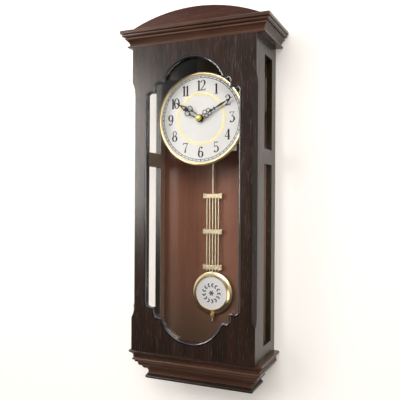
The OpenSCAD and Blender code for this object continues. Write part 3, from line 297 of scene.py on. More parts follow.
@dataclass(frozen=True)
class SpecklePattern:
    """The fine unevenness of plating, paint, plastic and enamel."""

    cloud: Noise = Noise(60, 3, 0.5)
    dust: Noise = Noise(1400, 2, 0.5)
    cloud_range: tuple[float, float] = (0.35, 0.7)
    cloud_rough: float = 0.08

    def group(self) -> Group:
        """Makes the node group that every even finish shares.

        Returns:
            The group.
        """
        group = Group(
            "fine_speckle",
            [Socket("Vector", VECTOR), Socket("Color", COLOUR), Socket("Shade", COLOUR),
             Socket("Amount", NUMBER, 0.2), Socket("Gloss", NUMBER, 0.3), Socket("Scale", NUMBER, 1.0)],
            [Socket("Color", COLOUR), Socket("Roughness", NUMBER), Socket("Height", NUMBER)])
        tree, given, result = group.tree, group.source.outputs, group.sink.inputs
        scaled = tree.nodes.new("ShaderNodeVectorMath")
        scaled.operation = "SCALE"
        feed(tree, given["Vector"], scaled.inputs[0])
        feed(tree, given["Scale"], scaled.inputs["Scale"])
        cloud = self.cloud.place(tree, scaled.outputs["Vector"])
        dust = self.dust.place(tree, scaled.outputs["Vector"])
        amount = calc(tree, "MULTIPLY", remap(tree, cloud, *self.cloud_range), given["Amount"])
        feed(tree, blend(tree, amount, given["Color"], given["Shade"]), result["Color"])
        rough = calc(tree, "ADD", given["Gloss"], calc(tree, "MULTIPLY", cloud, self.cloud_rough))
        feed(tree, rough, result["Roughness"])
        feed(tree, dust, result["Height"])
        return group


GRAIN = GrainPattern().group()
SPECKLE = SpecklePattern().group()

# Materials and finishes

TURNS = {Grain.ACROSS: (0, math.pi / 2, 0), Grain.DEEP: (math.pi / 2, 0, 0), Grain.UPRIGHT: (0, 0, 0)}
GRAIN_SHIFT = (0.31, 0.17, 0.05)


def start_material(name: str) -> tuple[bpy.types.Material, Node]:
    """Makes a node material.

    Args:
        name: the material's name.

    Returns:
        The material and its Principled shader.
    """
    material = bpy.data.materials.new(name)
    material.use_nodes = True
    return material, material.node_tree.nodes["Principled BSDF"]


def show(tree: Tree, fac: Plug, below: Plug, above: Plug) -> None:
    """Makes a material show one shader where fac is 0 and another where it is 1.

    Args:
        tree: the material's tree.
        fac: the socket that chooses.
        below: the shader at 0.
        above: the shader at 1.
    """
    mix = tree.nodes.new("ShaderNodeMixShader")
    for source, target in zip((fac, below, above), mix.inputs):
        feed(tree, source, target)
    feed(tree, mix.outputs["Shader"], tree.nodes["Material Output"].inputs["Surface"])


def object_vector(tree: Tree, turn: Sequence[float] = (0, 0, 0), shift: Sequence[float] = (0, 0, 0)) -> Plug:
    """Adds Object coordinates that a Mapping node turns and shifts.

    Args:
        tree: the material's tree.
        turn: the rotation about each axis.
        shift: the distance along each axis.

    Returns:
        The coordinates' socket.
    """
    coords = tree.nodes.new("ShaderNodeTexCoord")
    mapping = tree.nodes.new("ShaderNodeMapping")
    mapping.inputs["Rotation"].default_value = turn
    mapping.inputs["Location"].default_value = shift
    feed(tree, coords.outputs["Object"], mapping.inputs["Vector"])
    return mapping.outputs["Vector"]


def add_bump(tree: Tree, height: Plug, shader: Node, depth: float, strength: float) -> None:
    """Feeds a height through a Bump node into the shader's Normal.

    Args:
        tree: the material's tree.
        height: the socket with the height.
        shader: the Principled shader.
        depth: the bump's distance in metres.
        strength: the bump's strength.
    """
    bump = tree.nodes.new("ShaderNodeBump")
    feed_all(tree, bump, {"Height": height, "Distance": depth, "Strength": strength})
    feed(tree, bump.outputs["Normal"], shader.inputs["Normal"])


@dataclass(frozen=True)
class Zone:
    """Where a wood's colour is painted lighter or darker to stand in for light or shade, by the distance from
    zero along one row axis.
    """

    axis: str
    clear: float
    full: float
    stain: RGB
    cover: float = 0.85

    def place(self, tree: Tree, colour: Plug) -> Plug:
        """Adds the zone to a colour.

        Args:
            tree: the material's tree.
            colour: the colour outside the zone.

        Returns:
            The colour that turns into the painted light or shade from clear to full.
        """
        axes = tree.nodes.new("ShaderNodeSeparateXYZ")
        feed(tree, object_vector(tree), axes.inputs["Vector"])
        away = calc(tree, "ABSOLUTE", axes.outputs[self.axis], 0)
        # the wood's colour under full cover of the painted light or shade
        stained = blend(tree, self.cover, colour, self.stain)
        return blend(tree, remap(tree, away, self.clear, self.full), colour, stained)


@dataclass(frozen=True)
class StainedWood:
    """Stained and lacquered wood with a visible grain."""

    name: str
    ground: RGB
    streak: RGB
    pore: RGB
    streaks: float = 0.7
    pores: float = 0.4
    gloss: float = 0.20
    coat: float = 0.15
    bump: float = 0.25
    zones: tuple[Zone, ...] = ()
    shine: float = 0.2
    coat_rough: float = 0.2
    bump_depth: float = 0.3 * MM

    @cache
    def material(self, along: Grain) -> bpy.types.Material:
        """Makes the finish with its grain along one axis.

        Args:
            along: the axis that the grain follows.

        Returns:
            The material.
        """
        material, shader = start_material(f"{self.name}_{along.value}")
        tree = material.node_tree
        grain = GRAIN.place(tree)
        feed_all(tree, grain, {"Vector": object_vector(tree, TURNS[along], GRAIN_SHIFT), "Ground": self.ground,
                               "Streak": self.streak, "Pore": self.pore, "Streaks": self.streaks,
                               "Pores": self.pores, "Gloss": self.gloss})
        colour = grain.outputs["Color"]
        for zone in self.zones:
            colour = zone.place(tree, colour)
        feed_all(tree, shader, {"Base Color": colour, "Roughness": grain.outputs["Roughness"],
                                "Specular IOR Level": self.shine, "Coat Weight": self.coat,
                                "Coat Roughness": self.coat_rough})
        add_bump(tree, grain.outputs["Height"], shader, self.bump_depth, self.bump)
        return material


@dataclass(frozen=True)
class Even:
    """A nearly even finish: metal, paint, enamel, plastic or rubber."""

    name: str
    colour: RGB
    shade: RGB
    gloss: float
    metallic: float = 0.0
    amount: float = 0.5
    coat: float = 0.0
    bump: float = 0.05
    scale: float = 1.0
    shine: float = 0.5
    coat_rough: float = 0.05
    bump_depth: float = 0.05 * MM

    @cache
    def material(self) -> bpy.types.Material:
        """Makes the finish.

        Returns:
            The material.
        """
        material, shader = start_material(self.name)
        tree = material.node_tree
        speckle = SPECKLE.place(tree)
        feed_all(tree, speckle, {"Vector": object_vector(tree), "Color": self.colour, "Shade": self.shade,
                                 "Amount": self.amount, "Gloss": self.gloss, "Scale": self.scale})
        feed_all(tree, shader, {"Base Color": speckle.outputs["Color"],
                                "Roughness": speckle.outputs["Roughness"],
                                "Metallic": self.metallic, "Specular IOR Level": self.shine,
                                "Coat Weight": self.coat, "Coat Roughness": self.coat_rough})
        add_bump(tree, speckle.outputs["Height"], shader, self.bump_depth, self.bump)
        return material


@dataclass(frozen=True)
class ClearGlass:
    """Flat window glass that lets the lamps' light through."""

    name: str = "window_glass"
    tint: RGB = (0.97, 0.972, 0.97)
    ior: float = 1.45
    wipe: Noise = Noise(25, 3, 0.5)
    wipe_range: tuple[float, float] = (0.3, 0.8)
    rough_range: tuple[float, float] = (0.005, 0.02)

    def material(self) -> bpy.types.Material:
        """Makes the glass, which casts no dark shadow.

        Returns:
            The material.
        """
        material, shader = start_material(self.name)
        tree = material.node_tree
        wipe = self.wipe.place(tree, object_vector(tree))
        wiped = remap(tree, wipe, *self.wipe_range, *self.rough_range)
        feed_all(tree, shader, {"Base Color": self.tint, "Roughness": wiped, "Metallic": 0,
                                "Transmission Weight": 1, "IOR": self.ior})
        light = tree.nodes.new("ShaderNodeLightPath")
        clear = tree.nodes.new("ShaderNodeBsdfTransparent")
        feed(tree, self.tint, clear.inputs["Color"])
        straight = calc(tree, "MAXIMUM", light.outputs["Is Shadow Ray"], light.outputs["Is Diffuse Ray"])
        show(tree, straight, shader.outputs["BSDF"], clear.outputs["BSDF"])
        return material


# Woods: ground, streaks and pores, the amount of both, gloss, coat and bump
DOOR_WOOD = StainedWood("door_stain", (0.009, 0.007, 0.005), (0.036, 0.017, 0.012), (0.072, 0.051, 0.040),
                        0.7, 0.35)
# Painted light: the side frames' inner faces, inboard of 108.1 mm from the middle, are turned light brown to
# stand in for the light falling on them.
SIDE_WOOD = StainedWood("side_stain_and_painted_light", (0.014, 0.012, 0.006), (0.032, 0.021, 0.010), (0.052, 0.042, 0.024),
                        0.7, 0.25, zones=(Zone("X", 0.1084, 0.1081, (0.50, 0.36, 0.27)),))
BOARD_WOOD = StainedWood("board_stain", (0.014, 0.010, 0.007), (0.032, 0.018, 0.013), (0.052, 0.038, 0.028),
                         0.7, 0.25)
RED_WOOD = StainedWood("moulding_stain", (0.042, 0.022, 0.014), (0.120, 0.056, 0.036), (0.014, 0.010, 0.008),
                       0.8, 0.45)
ARCH_WOOD = StainedWood("arch_stain", (0.030, 0.010, 0.006), (0.072, 0.026, 0.016), (0.016, 0.010, 0.008),
                        0.8, 0.4)
PANEL_WOOD = StainedWood("panel_stain_and_painted_shade", (0.190, 0.078, 0.046), (0.300, 0.124, 0.076), (0.105, 0.046, 0.032),
                         0.6, 0.3, 0.45, 0.1, 0.2,
                         # Painted shade: the back panel darkens towards the bottom, between 0.36 m and 0.52 m
                         # below zero.
                         zones=(Zone("Z", 0.36, 0.52, (0.105, 0.066, 0.043)),
                                # Painted shadow: the top strip of the panel, within 36 mm of zero in height and
                                # above the bearer board, is turned nearly black for the shade at the top of the
                                # case.
                                Zone("Z", 0.0363, 0.036, (0.010, 0.008, 0.006))))
INNER_WOOD = StainedWood("inner_stain", (0.080, 0.064, 0.052), (0.115, 0.092, 0.074), (0.050, 0.040, 0.033),
                         0.6, 0.4, 0.4, 0.1, 0.2)
RAW_WOOD = StainedWood("bare_softwood", (0.42, 0.29, 0.17), (0.52, 0.38, 0.24), (0.30, 0.19, 0.11),
                       0.6, 0.3, 0.6, 0.0, 0.3)

# Even finishes: colour, its shade and gloss
LACQUER = Even("black_lacquer", (0.006, 0.006, 0.008), (0.012, 0.009, 0.009), 0.12, coat=1.0, bump=0.02)
ENAMEL = Even("white_enamel", (0.76, 0.76, 0.76), (0.73, 0.73, 0.73), 0.35, bump=0.04)
COOL_ENAMEL = Even("cool_white_enamel", (0.80, 0.80, 0.82), (0.77, 0.77, 0.79), 0.35, bump=0.04)
PALE_GOLD = Even("pale_gold", (0.94, 0.79, 0.46), (0.88, 0.71, 0.37), 0.26, metallic=1.0, bump=0.04)
SATIN_GOLD = Even("satin_gold", (0.60, 0.53, 0.36), (0.53, 0.46, 0.30), 0.40, metallic=0.8, bump=0.05)
BAR_GOLD = Even("bar_gold", (0.42, 0.36, 0.24), (0.37, 0.31, 0.19), 0.46, metallic=0.7, bump=0.05)
GOLD_PRINT = Even("gold_print", (0.76, 0.64, 0.36), (0.70, 0.58, 0.30), 0.50, metallic=0.2, shine=0.3)
BRASS = Even("bright_brass", (0.83, 0.64, 0.25), (0.74, 0.54, 0.18), 0.16, metallic=1.0)
# The rating nut's brass has a real dull finish, and its darker colour is partly painted shade for the nut, which
# hangs in shadow.
SHADED_DULL_BRASS = Even("dull_brass_painted_shade", (0.42, 0.29, 0.13), (0.34, 0.23, 0.10), 0.38, metallic=1.0, bump=0.1)
LEMON_GILT = Even("lemon_gilt", (0.98, 0.86, 0.22), (0.94, 0.80, 0.16), 0.34, metallic=0.7)
ZINC = Even("zinc_plate", (0.60, 0.61, 0.62), (0.50, 0.51, 0.53), 0.30, metallic=1.0)
CAST = Even("bronzed_cast", (0.40, 0.33, 0.20), (0.32, 0.26, 0.15), 0.45, metallic=1.0, bump=0.2)
HAND_BLACK = Even("hand_black", (0.010, 0.010, 0.012), (0.018, 0.018, 0.018), 0.40, bump=0.03, shine=0.15)
PRINT_BLACK = Even("print_black", (0.014, 0.014, 0.016), (0.020, 0.020, 0.022), 0.55, shine=0.1)
PRINT_GREY = Even("print_grey", (0.022, 0.022, 0.026), (0.030, 0.030, 0.034), 0.55, shine=0.1)
BLACK_PLASTIC = Even("black_plastic", (0.020, 0.020, 0.021), (0.030, 0.030, 0.030), 0.45, bump=0.3)
PALE_PLASTIC = Even("pale_plastic", (0.72, 0.71, 0.66), (0.66, 0.65, 0.60), 0.45)
BOARD_GREEN = Even("board_green", (0.02, 0.13, 0.05), (0.02, 0.09, 0.04), 0.35)
CELL_JACKET = Even("cell_jacket", (0.06, 0.06, 0.07), (0.10, 0.10, 0.11), 0.25, metallic=0.6)
COPPER = Even("copper_winding", (0.60, 0.22, 0.09), (0.45, 0.15, 0.06), 0.35, metallic=1.0, scale=4.0)
RUBBER = Even("black_rubber", (0.018, 0.018, 0.018), (0.028, 0.028, 0.028), 0.7, bump=0.4)

WoodTable = tuple[tuple[StainedWood, Grain, tuple[str, ...]], ...]
EvenTable = tuple[tuple[Even, tuple[str, ...]], ...]


class SubAssembly:
    """CAD nodes that belong together, and the finish that each gets."""

    woods: ClassVar[WoodTable] = ()
    evens: ClassVar[EvenTable] = ()

    def put(self, names: Iterable[str], material: bpy.types.Material) -> None:
        """Gives CAD nodes a material.

        Args:
            names: the nodes.
            material: what their slots get.
        """
        for name in names:
            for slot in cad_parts[name].material_slots:
                slot.material = material
            LOG.info("%s is finished in %s", name, material.name)

    def build(self) -> None:
        """Dresses the nodes in the two tables."""
        for wood, along, names in self.woods:
            self.put(names, wood.material(along))
        for finish, names in self.evens:
            self.put(names, finish.material())


class Case(SubAssembly):
    """Back, sides, cornice, arch, base and the hanger."""

    woods = (
        (SIDE_WOOD, Grain.UPRIGHT, ("side_frame_left", "side_frame_right")),
        (BOARD_WOOD, Grain.ACROSS, ("top_board", "plinth_board")),
        (RED_WOOD, Grain.ACROSS, ("cornice_front", "base_plate", "base_moulding_front")),
        (RED_WOOD, Grain.DEEP, ("cornice_left", "cornice_right", "base_moulding_left", "base_moulding_right")),
        (ARCH_WOOD, Grain.ACROSS, ("pediment",)),
        (PANEL_WOOD, Grain.UPRIGHT, ("back_panel",)),
        (INNER_WOOD, Grain.ACROSS, ("bearer_board",)),
        (RAW_WOOD, Grain.ACROSS, ("glue_blocks", "hanger_block")),
        (RAW_WOOD, Grain.UPRIGHT, ("bearer_cleats",)),
    )
    evens = (
        (BRASS, ("hinge_case_leaves", "hinge_pins", "case_screws")),
        (ZINC, ("hanger_plate", "catch_magnet")),
        (BLACK_PLASTIC, ("catch_body",)),
    )


class Door(SubAssembly):
    """The one-piece door with its bead, glass, stops and fittings."""

    woods = ((DOOR_WOOD, Grain.UPRIGHT, ("door_panel",)), (BOARD_WOOD, Grain.UPRIGHT, ("glass_stops",)))
    evens = (
        (LACQUER, ("door_bead",)),
        (BRASS, ("hinge_door_leaves", "door_screws")),
        (ZINC, ("strike_plate",)),
    )

    def build(self) -> None:
        """Dresses the nodes and the glass."""
        super().build()
        self.put(("door_glass",), ClearGlass().material())


class Movement(SubAssembly):
    """The quartz movement, its motion work and hands."""

    evens = (
        (BRASS, ("dial_nut", "minute_arbor")),
        (LEMON_GILT, ("hand_cap",)),
        (ZINC, ("battery_contacts",)),
        (HAND_BLACK, ("hour_hand", "minute_hand")),
        (BLACK_PLASTIC, ("movement_case", "movement_cover", "setting_knob")),
        (PALE_PLASTIC, ("motor_module", "idler_wheel", "hour_wheel")),
        (BOARD_GREEN, ("circuit_board",)),
        (CELL_JACKET, ("battery",)),
        (RUBBER, ("dial_washer",)),
    )


# Building blocks

WELD = 1e-7
INK = 0.06 * MM


def finish_mesh(name: str, mesh: bmesh.types.BMesh, material: bpy.types.Material, body: Body) -> bpy.types.Object:
    """Turns a bmesh into a flat-shaded piece of the clock.

    Args:
        name: the piece's name.
        mesh: its shape, in the row frame in metres.
        material: its finish.
        body: the CAD body that it rides on.

    Returns:
        The new object.
    """
    bmesh.ops.remove_doubles(mesh, verts=mesh.verts, dist=WELD)
    bmesh.ops.recalc_face_normals(mesh, faces=mesh.faces)
    data = bpy.data.meshes.new(name)
    mesh.to_mesh(data)
    mesh.free()
    for face in data.polygons:
        face.use_smooth = False
    data.materials.append(material)
    piece = bpy.data.objects.new(name, data)
    bpy.context.scene.collection.objects.link(piece)
    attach(piece, body.value)
    LOG.info("%s: %d faces on %s", name, len(data.polygons), body.value)
    return piece


def square_ring(mesh: bmesh.types.BMesh, inner: float, outer: float, thick: float, steps: int = 180) -> None:
    """Adds a flat ring about Z that stands on the plane z = 0.

    Args:
        mesh: the bmesh that gets it.
        inner: its inner radius.
        outer: its outer radius.
        thick: its thickness.
        steps: the steps round the circle.
    """
    section = ((inner, 0, 0), (outer, 0, 0), (outer, 0, thick), (inner, 0, thick))
    corners = [mesh.verts.new(at) for at in section]
    edges = [mesh.edges.new(pair) for pair in zip(corners, corners[1:] + corners[:1])]
    bmesh.ops.spin(mesh, geom=corners + edges, cent=(0, 0, 0), axis=(0, 0, 1), dvec=(0, 0, 0),
                   angle=math.tau, steps=steps, use_merge=True, use_duplicate=False)


def add_block(mesh: bmesh.types.BMesh, size: Sequence[float], place: Matrix) -> None:
    """Adds a block.

    Args:
        mesh: the bmesh that gets it.
        size: its size along each axis.
        place: the matrix that moves it from the origin, where its centre is.
    """
    made = bmesh.ops.create_cube(mesh, size=1.0)
    bmesh.ops.scale(mesh, vec=size, verts=made["verts"])
    bmesh.ops.transform(mesh, matrix=place, verts=made["verts"])


def add_disc(mesh: bmesh.types.BMesh, radius: float, thick: float, place: Matrix, segments: int = 24) -> None:
    """Adds a flat disc about Z.

    Args:
        mesh: the bmesh that gets it.
        radius: its radius.
        thick: its thickness.
        place: the matrix that moves it from the origin, where its centre is.
        segments: the steps round its edge.
    """
    bmesh.ops.create_cone(mesh, cap_ends=True, cap_tris=False, segments=segments,
                          radius1=radius, radius2=radius, depth=thick, matrix=place)


def on_face(low: Vector, high: Vector) -> Matrix:
    """Finds the middle of the front face of a flat round CAD node.

    Args:
        low: the lowest corner of the node's box.
        high: the highest corner of it.

    Returns:
        The matrix that moves the origin there and turns local Z towards the viewer.
    """
    centre = Vector(((low.x + high.x) / 2, low.y, (low.z + high.z) / 2))
    return Matrix.Translation(centre) @ Euler((math.pi / 2, 0, 0)).to_matrix().to_4x4()


# Dial


OVAL_KNOTS = 8
FLANK_POWER = 1.5
PEN_ROUNDNESS = 2
CURVE_STEPS = 8
THIN, THICK, BALL = 0.030, 0.088, 0.100


@dataclass(frozen=True)
class Stroke:
    """One pen stroke of a numeral: points (x, y, half width) in a cell that is one unit high."""

    points: tuple[Point, ...]
    curved: bool = True
    closed: bool = False


def line(*points: Point) -> Stroke:
    """Returns a stroke of straight stretches."""
    return Stroke(points, curved=False)


def oval(x: float, y: float, rx: float, ry: float, thin: float, thick: float) -> Stroke:
    """Returns a closed oval whose flanks are thick and whose ends are thin.

    Args:
        x: its centre across.
        y: its centre upwards.
        rx: its half width.
        ry: its half height.
        thin: half the line's width at top and bottom.
        thick: half the line's width at the flanks.

    Returns:
        The stroke.
    """
    turns = [math.tau * k / OVAL_KNOTS for k in range(OVAL_KNOTS)]
    return Stroke(tuple((x + rx * math.cos(a), y + ry * math.sin(a),
                         thin + (thick - thin) * abs(math.cos(a)) ** FLANK_POWER) for a in turns), closed=True)


DIGITS: dict[str, tuple[Stroke, ...]] = {
    "0": (oval(0, 0.5, 0.23, 0.48, THIN, THICK),),
    "1": (line((0, 0.02, THICK), (0, 0.97, THICK)), line((-0.15, 0.84, THIN), (0, 0.97, THIN)),
          line((-0.15, 0.02, THIN), (0.15, 0.02, THIN))),
    "2": (Stroke(((-0.2, 0.76, BALL), (-0.19, 0.86, 0.04), (-0.02, 0.98, THIN), (0.19, 0.76, THICK),
                  (0.06, 0.42, 0.045), (-0.24, 0.05, THIN))),
          line((-0.24, 0.05, 0.05), (0.2, 0.05, 0.05), (0.26, 0.2, THIN))),
    "3": (line((-0.22, 0.8, THIN), (-0.2, 0.95, 0.045), (0.2, 0.95, 0.045), (-0.04, 0.6, THIN)),
          Stroke(((-0.04, 0.6, THIN), (0.14, 0.52, 0.05), (0.21, 0.3, THICK), (0.0, 0.02, THIN),
                  (-0.2, 0.12, BALL)))),
    "4": (line((0.09, 0.02, THICK), (0.09, 0.97, THICK)), line((0.09, 0.97, THIN), (-0.27, 0.28, THIN)),
          line((-0.27, 0.28, THIN), (0.27, 0.28, THIN)), line((-0.04, 0.02, THIN), (0.22, 0.02, THIN))),
    "5": (line((-0.17, 0.95, 0.045), (0.2, 0.95, 0.045)), line((-0.17, 0.95, THIN), (-0.17, 0.5, THIN)),
          Stroke(((-0.17, 0.5, THIN), (0.03, 0.6, 0.035), (0.21, 0.3, THICK), (0.0, 0.02, THIN),
                  (-0.2, 0.14, BALL)))),
    "6": (oval(0.01, 0.29, 0.2, 0.28, THIN, THICK),
          Stroke(((-0.19, 0.3, THICK), (-0.17, 0.62, 0.06), (0.02, 0.97, THIN), (0.17, 0.84, BALL)))),
    "7": (line((-0.23, 0.78, THIN), (-0.21, 0.94, 0.05), (0.23, 0.94, 0.05)),
          Stroke(((0.23, 0.94, THIN), (0.03, 0.45, 0.04), (-0.05, 0.04, THICK)))),
    "8": (oval(0, 0.75, 0.16, 0.23, THIN, 0.052), oval(0, 0.27, 0.2, 0.26, THIN, THICK)),
    "9": (oval(-0.01, 0.69, 0.2, 0.28, THIN, THICK),
          Stroke(((0.19, 0.68, THICK), (0.17, 0.36, 0.06), (-0.02, 0.02, THIN), (-0.17, 0.15, BALL)))),
}


def draw_strokes(name: str, strokes: Iterable[tuple[Stroke, Matrix]]) -> bmesh.types.BMesh:
    """Draws pen strokes as tubes of changing width.

    Args:
        name: a name for the curve.
        strokes: each stroke with the matrix that sizes and places it.

    Returns:
        The mesh of all strokes, each placed.
    """
    result = bmesh.new()
    for stroke, place in strokes:
        curve = bpy.data.curves.new(name, "CURVE")
        curve.dimensions = "3D"
        curve.bevel_depth = 1.0
        curve.bevel_resolution = PEN_ROUNDNESS
        curve.use_fill_caps = True
        curve.resolution_u = CURVE_STEPS if stroke.curved else 1
        spline = curve.splines.new("BEZIER")
        spline.bezier_points.add(len(stroke.points) - 1)
        spline.use_cyclic_u = stroke.closed
        for knot, (x, y, half) in zip(spline.bezier_points, stroke.points):
            knot.co = (x, y, 0)
            knot.radius = half
            knot.handle_left_type = knot.handle_right_type = "AUTO" if stroke.curved else "VECTOR"
        drawn = bpy.data.objects.new(name, curve)
        bpy.context.scene.collection.objects.link(drawn)
        shape = drawn.evaluated_get(bpy.context.evaluated_depsgraph_get()).to_mesh()
        data = bpy.data.meshes.new(name)
        part = bmesh.new()
        part.from_mesh(shape)
        bmesh.ops.transform(part, matrix=place, verts=part.verts)
        part.to_mesh(data)
        part.free()
        result.from_mesh(data)
        bpy.data.meshes.remove(data)
        bpy.data.objects.remove(drawn)
        bpy.data.curves.remove(curve)
    return result


@dataclass
class Dial(SubAssembly):
    """The dial on its pillars, with its printed numerals and minute track."""

    evens = (
        (ENAMEL, ("dial_plate",)),
        (PALE_GOLD, ("dial_bezel",)),
        (GOLD_PRINT, ("dial_ring",)),
        (BRASS, ("dial_pillars",)),
        (ZINC, ("pillar_screws",)),
    )
    numeral_radius: float = 60.6 * MM
    numeral_height: float = 19.2 * MM
    digit_gap: float = 0.41
    eleven_gap: float = 0.3362
    ink: float = INK
    track_inner: float = 74.3 * MM
    track_outer: float = 77.6 * MM
    line_width: float = 0.95 * MM
    dot_radius: float = 1.1 * MM

    def numerals(self, face: Matrix) -> None:
        """Draws the twelve numerals, upright.

        Args:
            face: what moves a print from the origin onto the dial.
        """
        placed: list[tuple[Stroke, Matrix]] = []
        high = self.numeral_height
        for hour in range(1, 13):
            turn = math.tau * hour / 12
            word = str(hour)
            middle = Vector((math.sin(turn), math.cos(turn), 0)) * self.numeral_radius
            gap = self.eleven_gap if word == "11" else self.digit_gap
            for place, digit in enumerate(word):
                x = (place - (len(word) - 1) / 2) * gap * high
                at = middle + Vector((x, -high / 2, 0))
                shape = Matrix.Translation(at) @ Matrix.Diagonal((high, high, self.ink, 1))
                placed.extend((stroke, face @ shape) for stroke in DIGITS[digit])
        mesh = draw_strokes("numeral", placed)
        finish_mesh("dial_numerals", mesh, PRINT_BLACK.material(), Body.CASE)

    def track(self, face: Matrix) -> None:
        """Draws the minute track as two rings with sixty marks between them.

        Args:
            face: what moves a print from the origin onto the dial.
        """
        mesh = bmesh.new()
        for radius in (self.track_inner, self.track_outer):
            square_ring(mesh, radius - self.line_width / 2, radius + self.line_width / 2, self.ink)
        middle = (self.track_inner + self.track_outer) / 2
        length = self.track_outer - self.track_inner
        for minute in range(60):
            turn = Matrix.Rotation(-math.tau * minute / 60, 4, "Z")
            place = turn @ Matrix.Translation((0, middle, self.ink / 2))
            if minute % 5:
                add_block(mesh, (self.line_width, length, self.ink), place)
            else:
                add_disc(mesh, self.dot_radius, self.ink, place)
        bmesh.ops.transform(mesh, matrix=face, verts=mesh.verts)
        finish_mesh("minute_track", mesh, PRINT_GREY.material(), Body.CASE)

    def build(self) -> None:
        """Dresses the nodes and makes both prints."""
        super().build()
        face = on_face(*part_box("dial_plate"))
        self.numerals(face)
        self.track(face)


@dataclass
class Pendulum(SubAssembly):
    """The drive, gridiron rods and bob, with a plain wreath of leaves printed on the bob's disc."""

    evens = (
        (COOL_ENAMEL, ("bob_disc",)),
        (PALE_GOLD, ("bob_rim",)),
        (SATIN_GOLD, ("pendulum_rods", "bar_rivets", "pendulum_arm")),
        (BAR_GOLD, ("cross_bars",)),
        (SHADED_DULL_BRASS, ("rating_nut",)),
        (CAST, ("bob_back",)),
        (BLACK_PLASTIC, ("drive_case",)),
        (COPPER, ("drive_coil",)),
    )
    wreath_radius: float = 15.5 * MM
    wreath_pairs: int = 13
    leaf: tuple[float, float] = (2.9 * MM, 1.25 * MM)
    leaf_steps: tuple[int, int] = (10, 6)
    leaf_spread: float = 2.0 * MM
    leaf_lean: float = 0.7
    rosette_radius: float = 3.0 * MM
    rosette_leaves: int = 6
    rosette_scale: float = 0.9
    ink: float = INK

    def add_leaf(self, mesh: bmesh.types.BMesh, radius: float, turn: float, lean: float, size: float) -> None:
        """Adds one flat leaf round the disc's middle.

        Args:
            mesh: the bmesh that gets it.
            radius: its distance from the middle.
            turn: its angle round the middle.
            lean: the angle between its length and the radius.
            size: its size against a leaf of the wreath.
        """
        length, width = self.leaf
        place = (Matrix.Rotation(turn, 4, "Z") @ Matrix.Translation((radius, 0, 0))
                 @ Matrix.Rotation(lean, 4, "Z") @ Matrix.Diagonal((length * size, width * size, self.ink, 1)))
        round_steps, long_steps = self.leaf_steps
        bmesh.ops.create_uvsphere(mesh, u_segments=round_steps, v_segments=long_steps, radius=1.0, matrix=place)

    def wreath(self) -> None:
        """Draws pairs of leaves in a ring and a small rosette in its middle."""
        mesh = bmesh.new()
        for pair in range(self.wreath_pairs):
            turn = math.tau * pair / self.wreath_pairs
            for side in (-1, 1):
                radius = self.wreath_radius + side * self.leaf_spread
                self.add_leaf(mesh, radius, turn, math.pi / 2 + side * self.leaf_lean, 1.0)
        for leaf in range(self.rosette_leaves):
            turn = math.tau * leaf / self.rosette_leaves
            self.add_leaf(mesh, self.rosette_radius, turn, 0.0, self.rosette_scale)
        bmesh.ops.transform(mesh, matrix=on_face(*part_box("bob_disc")), verts=mesh.verts)
        finish_mesh("bob_wreath", mesh, PRINT_BLACK.material(), Body.BOB)

    def build(self) -> None:
        """Dresses the nodes and makes the print."""
        super().build()
        self.wreath()


# Studio


@dataclass(frozen=True)
class Lamp:
    """A soft area lamp, which can spare matt or shiny surfaces."""

    name: str
    at: Point
    size: tuple[float, float]
    power: float
    on_matt: bool = True
    on_shiny: bool = True
    colour: RGB = (1.0, 0.95, 0.90)
    aim: Point = (0, -0.06, -0.25)

    def place(self) -> None:
        """Adds the lamp, pointed at the middle of the clock."""
        data = bpy.data.lights.new(self.name, "AREA")
        data.shape = "RECTANGLE"
        data.size, data.size_y = self.size
        data.energy = self.power
        data.color = self.colour
        lamp = bpy.data.objects.new(self.name, data)
        lamp.location = self.at
        lamp.rotation_euler = (Vector(self.aim) - Vector(self.at)).to_track_quat("-Z", "Y").to_euler()
        lamp.visible_diffuse = self.on_matt
        lamp.visible_glossy = lamp.visible_transmission = self.on_shiny
        bpy.context.scene.collection.objects.link(lamp)


@dataclass(frozen=True)
class Patch:
    """A bright part of the room, by the cosine of the angle to its middle."""

    aim: Point
    outer: float
    inner: float
    bright: float

    def place(self, tree: Tree, way: Plug) -> Plug:
        """Adds the patch to the world.

        Args:
            tree: the world's tree.
            way: the socket with the ray's direction.

        Returns:
            How bright it is that way: nothing beyond the outer cosine, full strength within the inner one.
        """
        node = tree.nodes.new("ShaderNodeVectorMath")
        node.operation = "DOT_PRODUCT"
        node.inputs[1].default_value = self.aim
        feed(tree, way, node.inputs[0])
        return remap(tree, node.outputs["Value"], self.outer, self.inner, 0.0, self.bright)


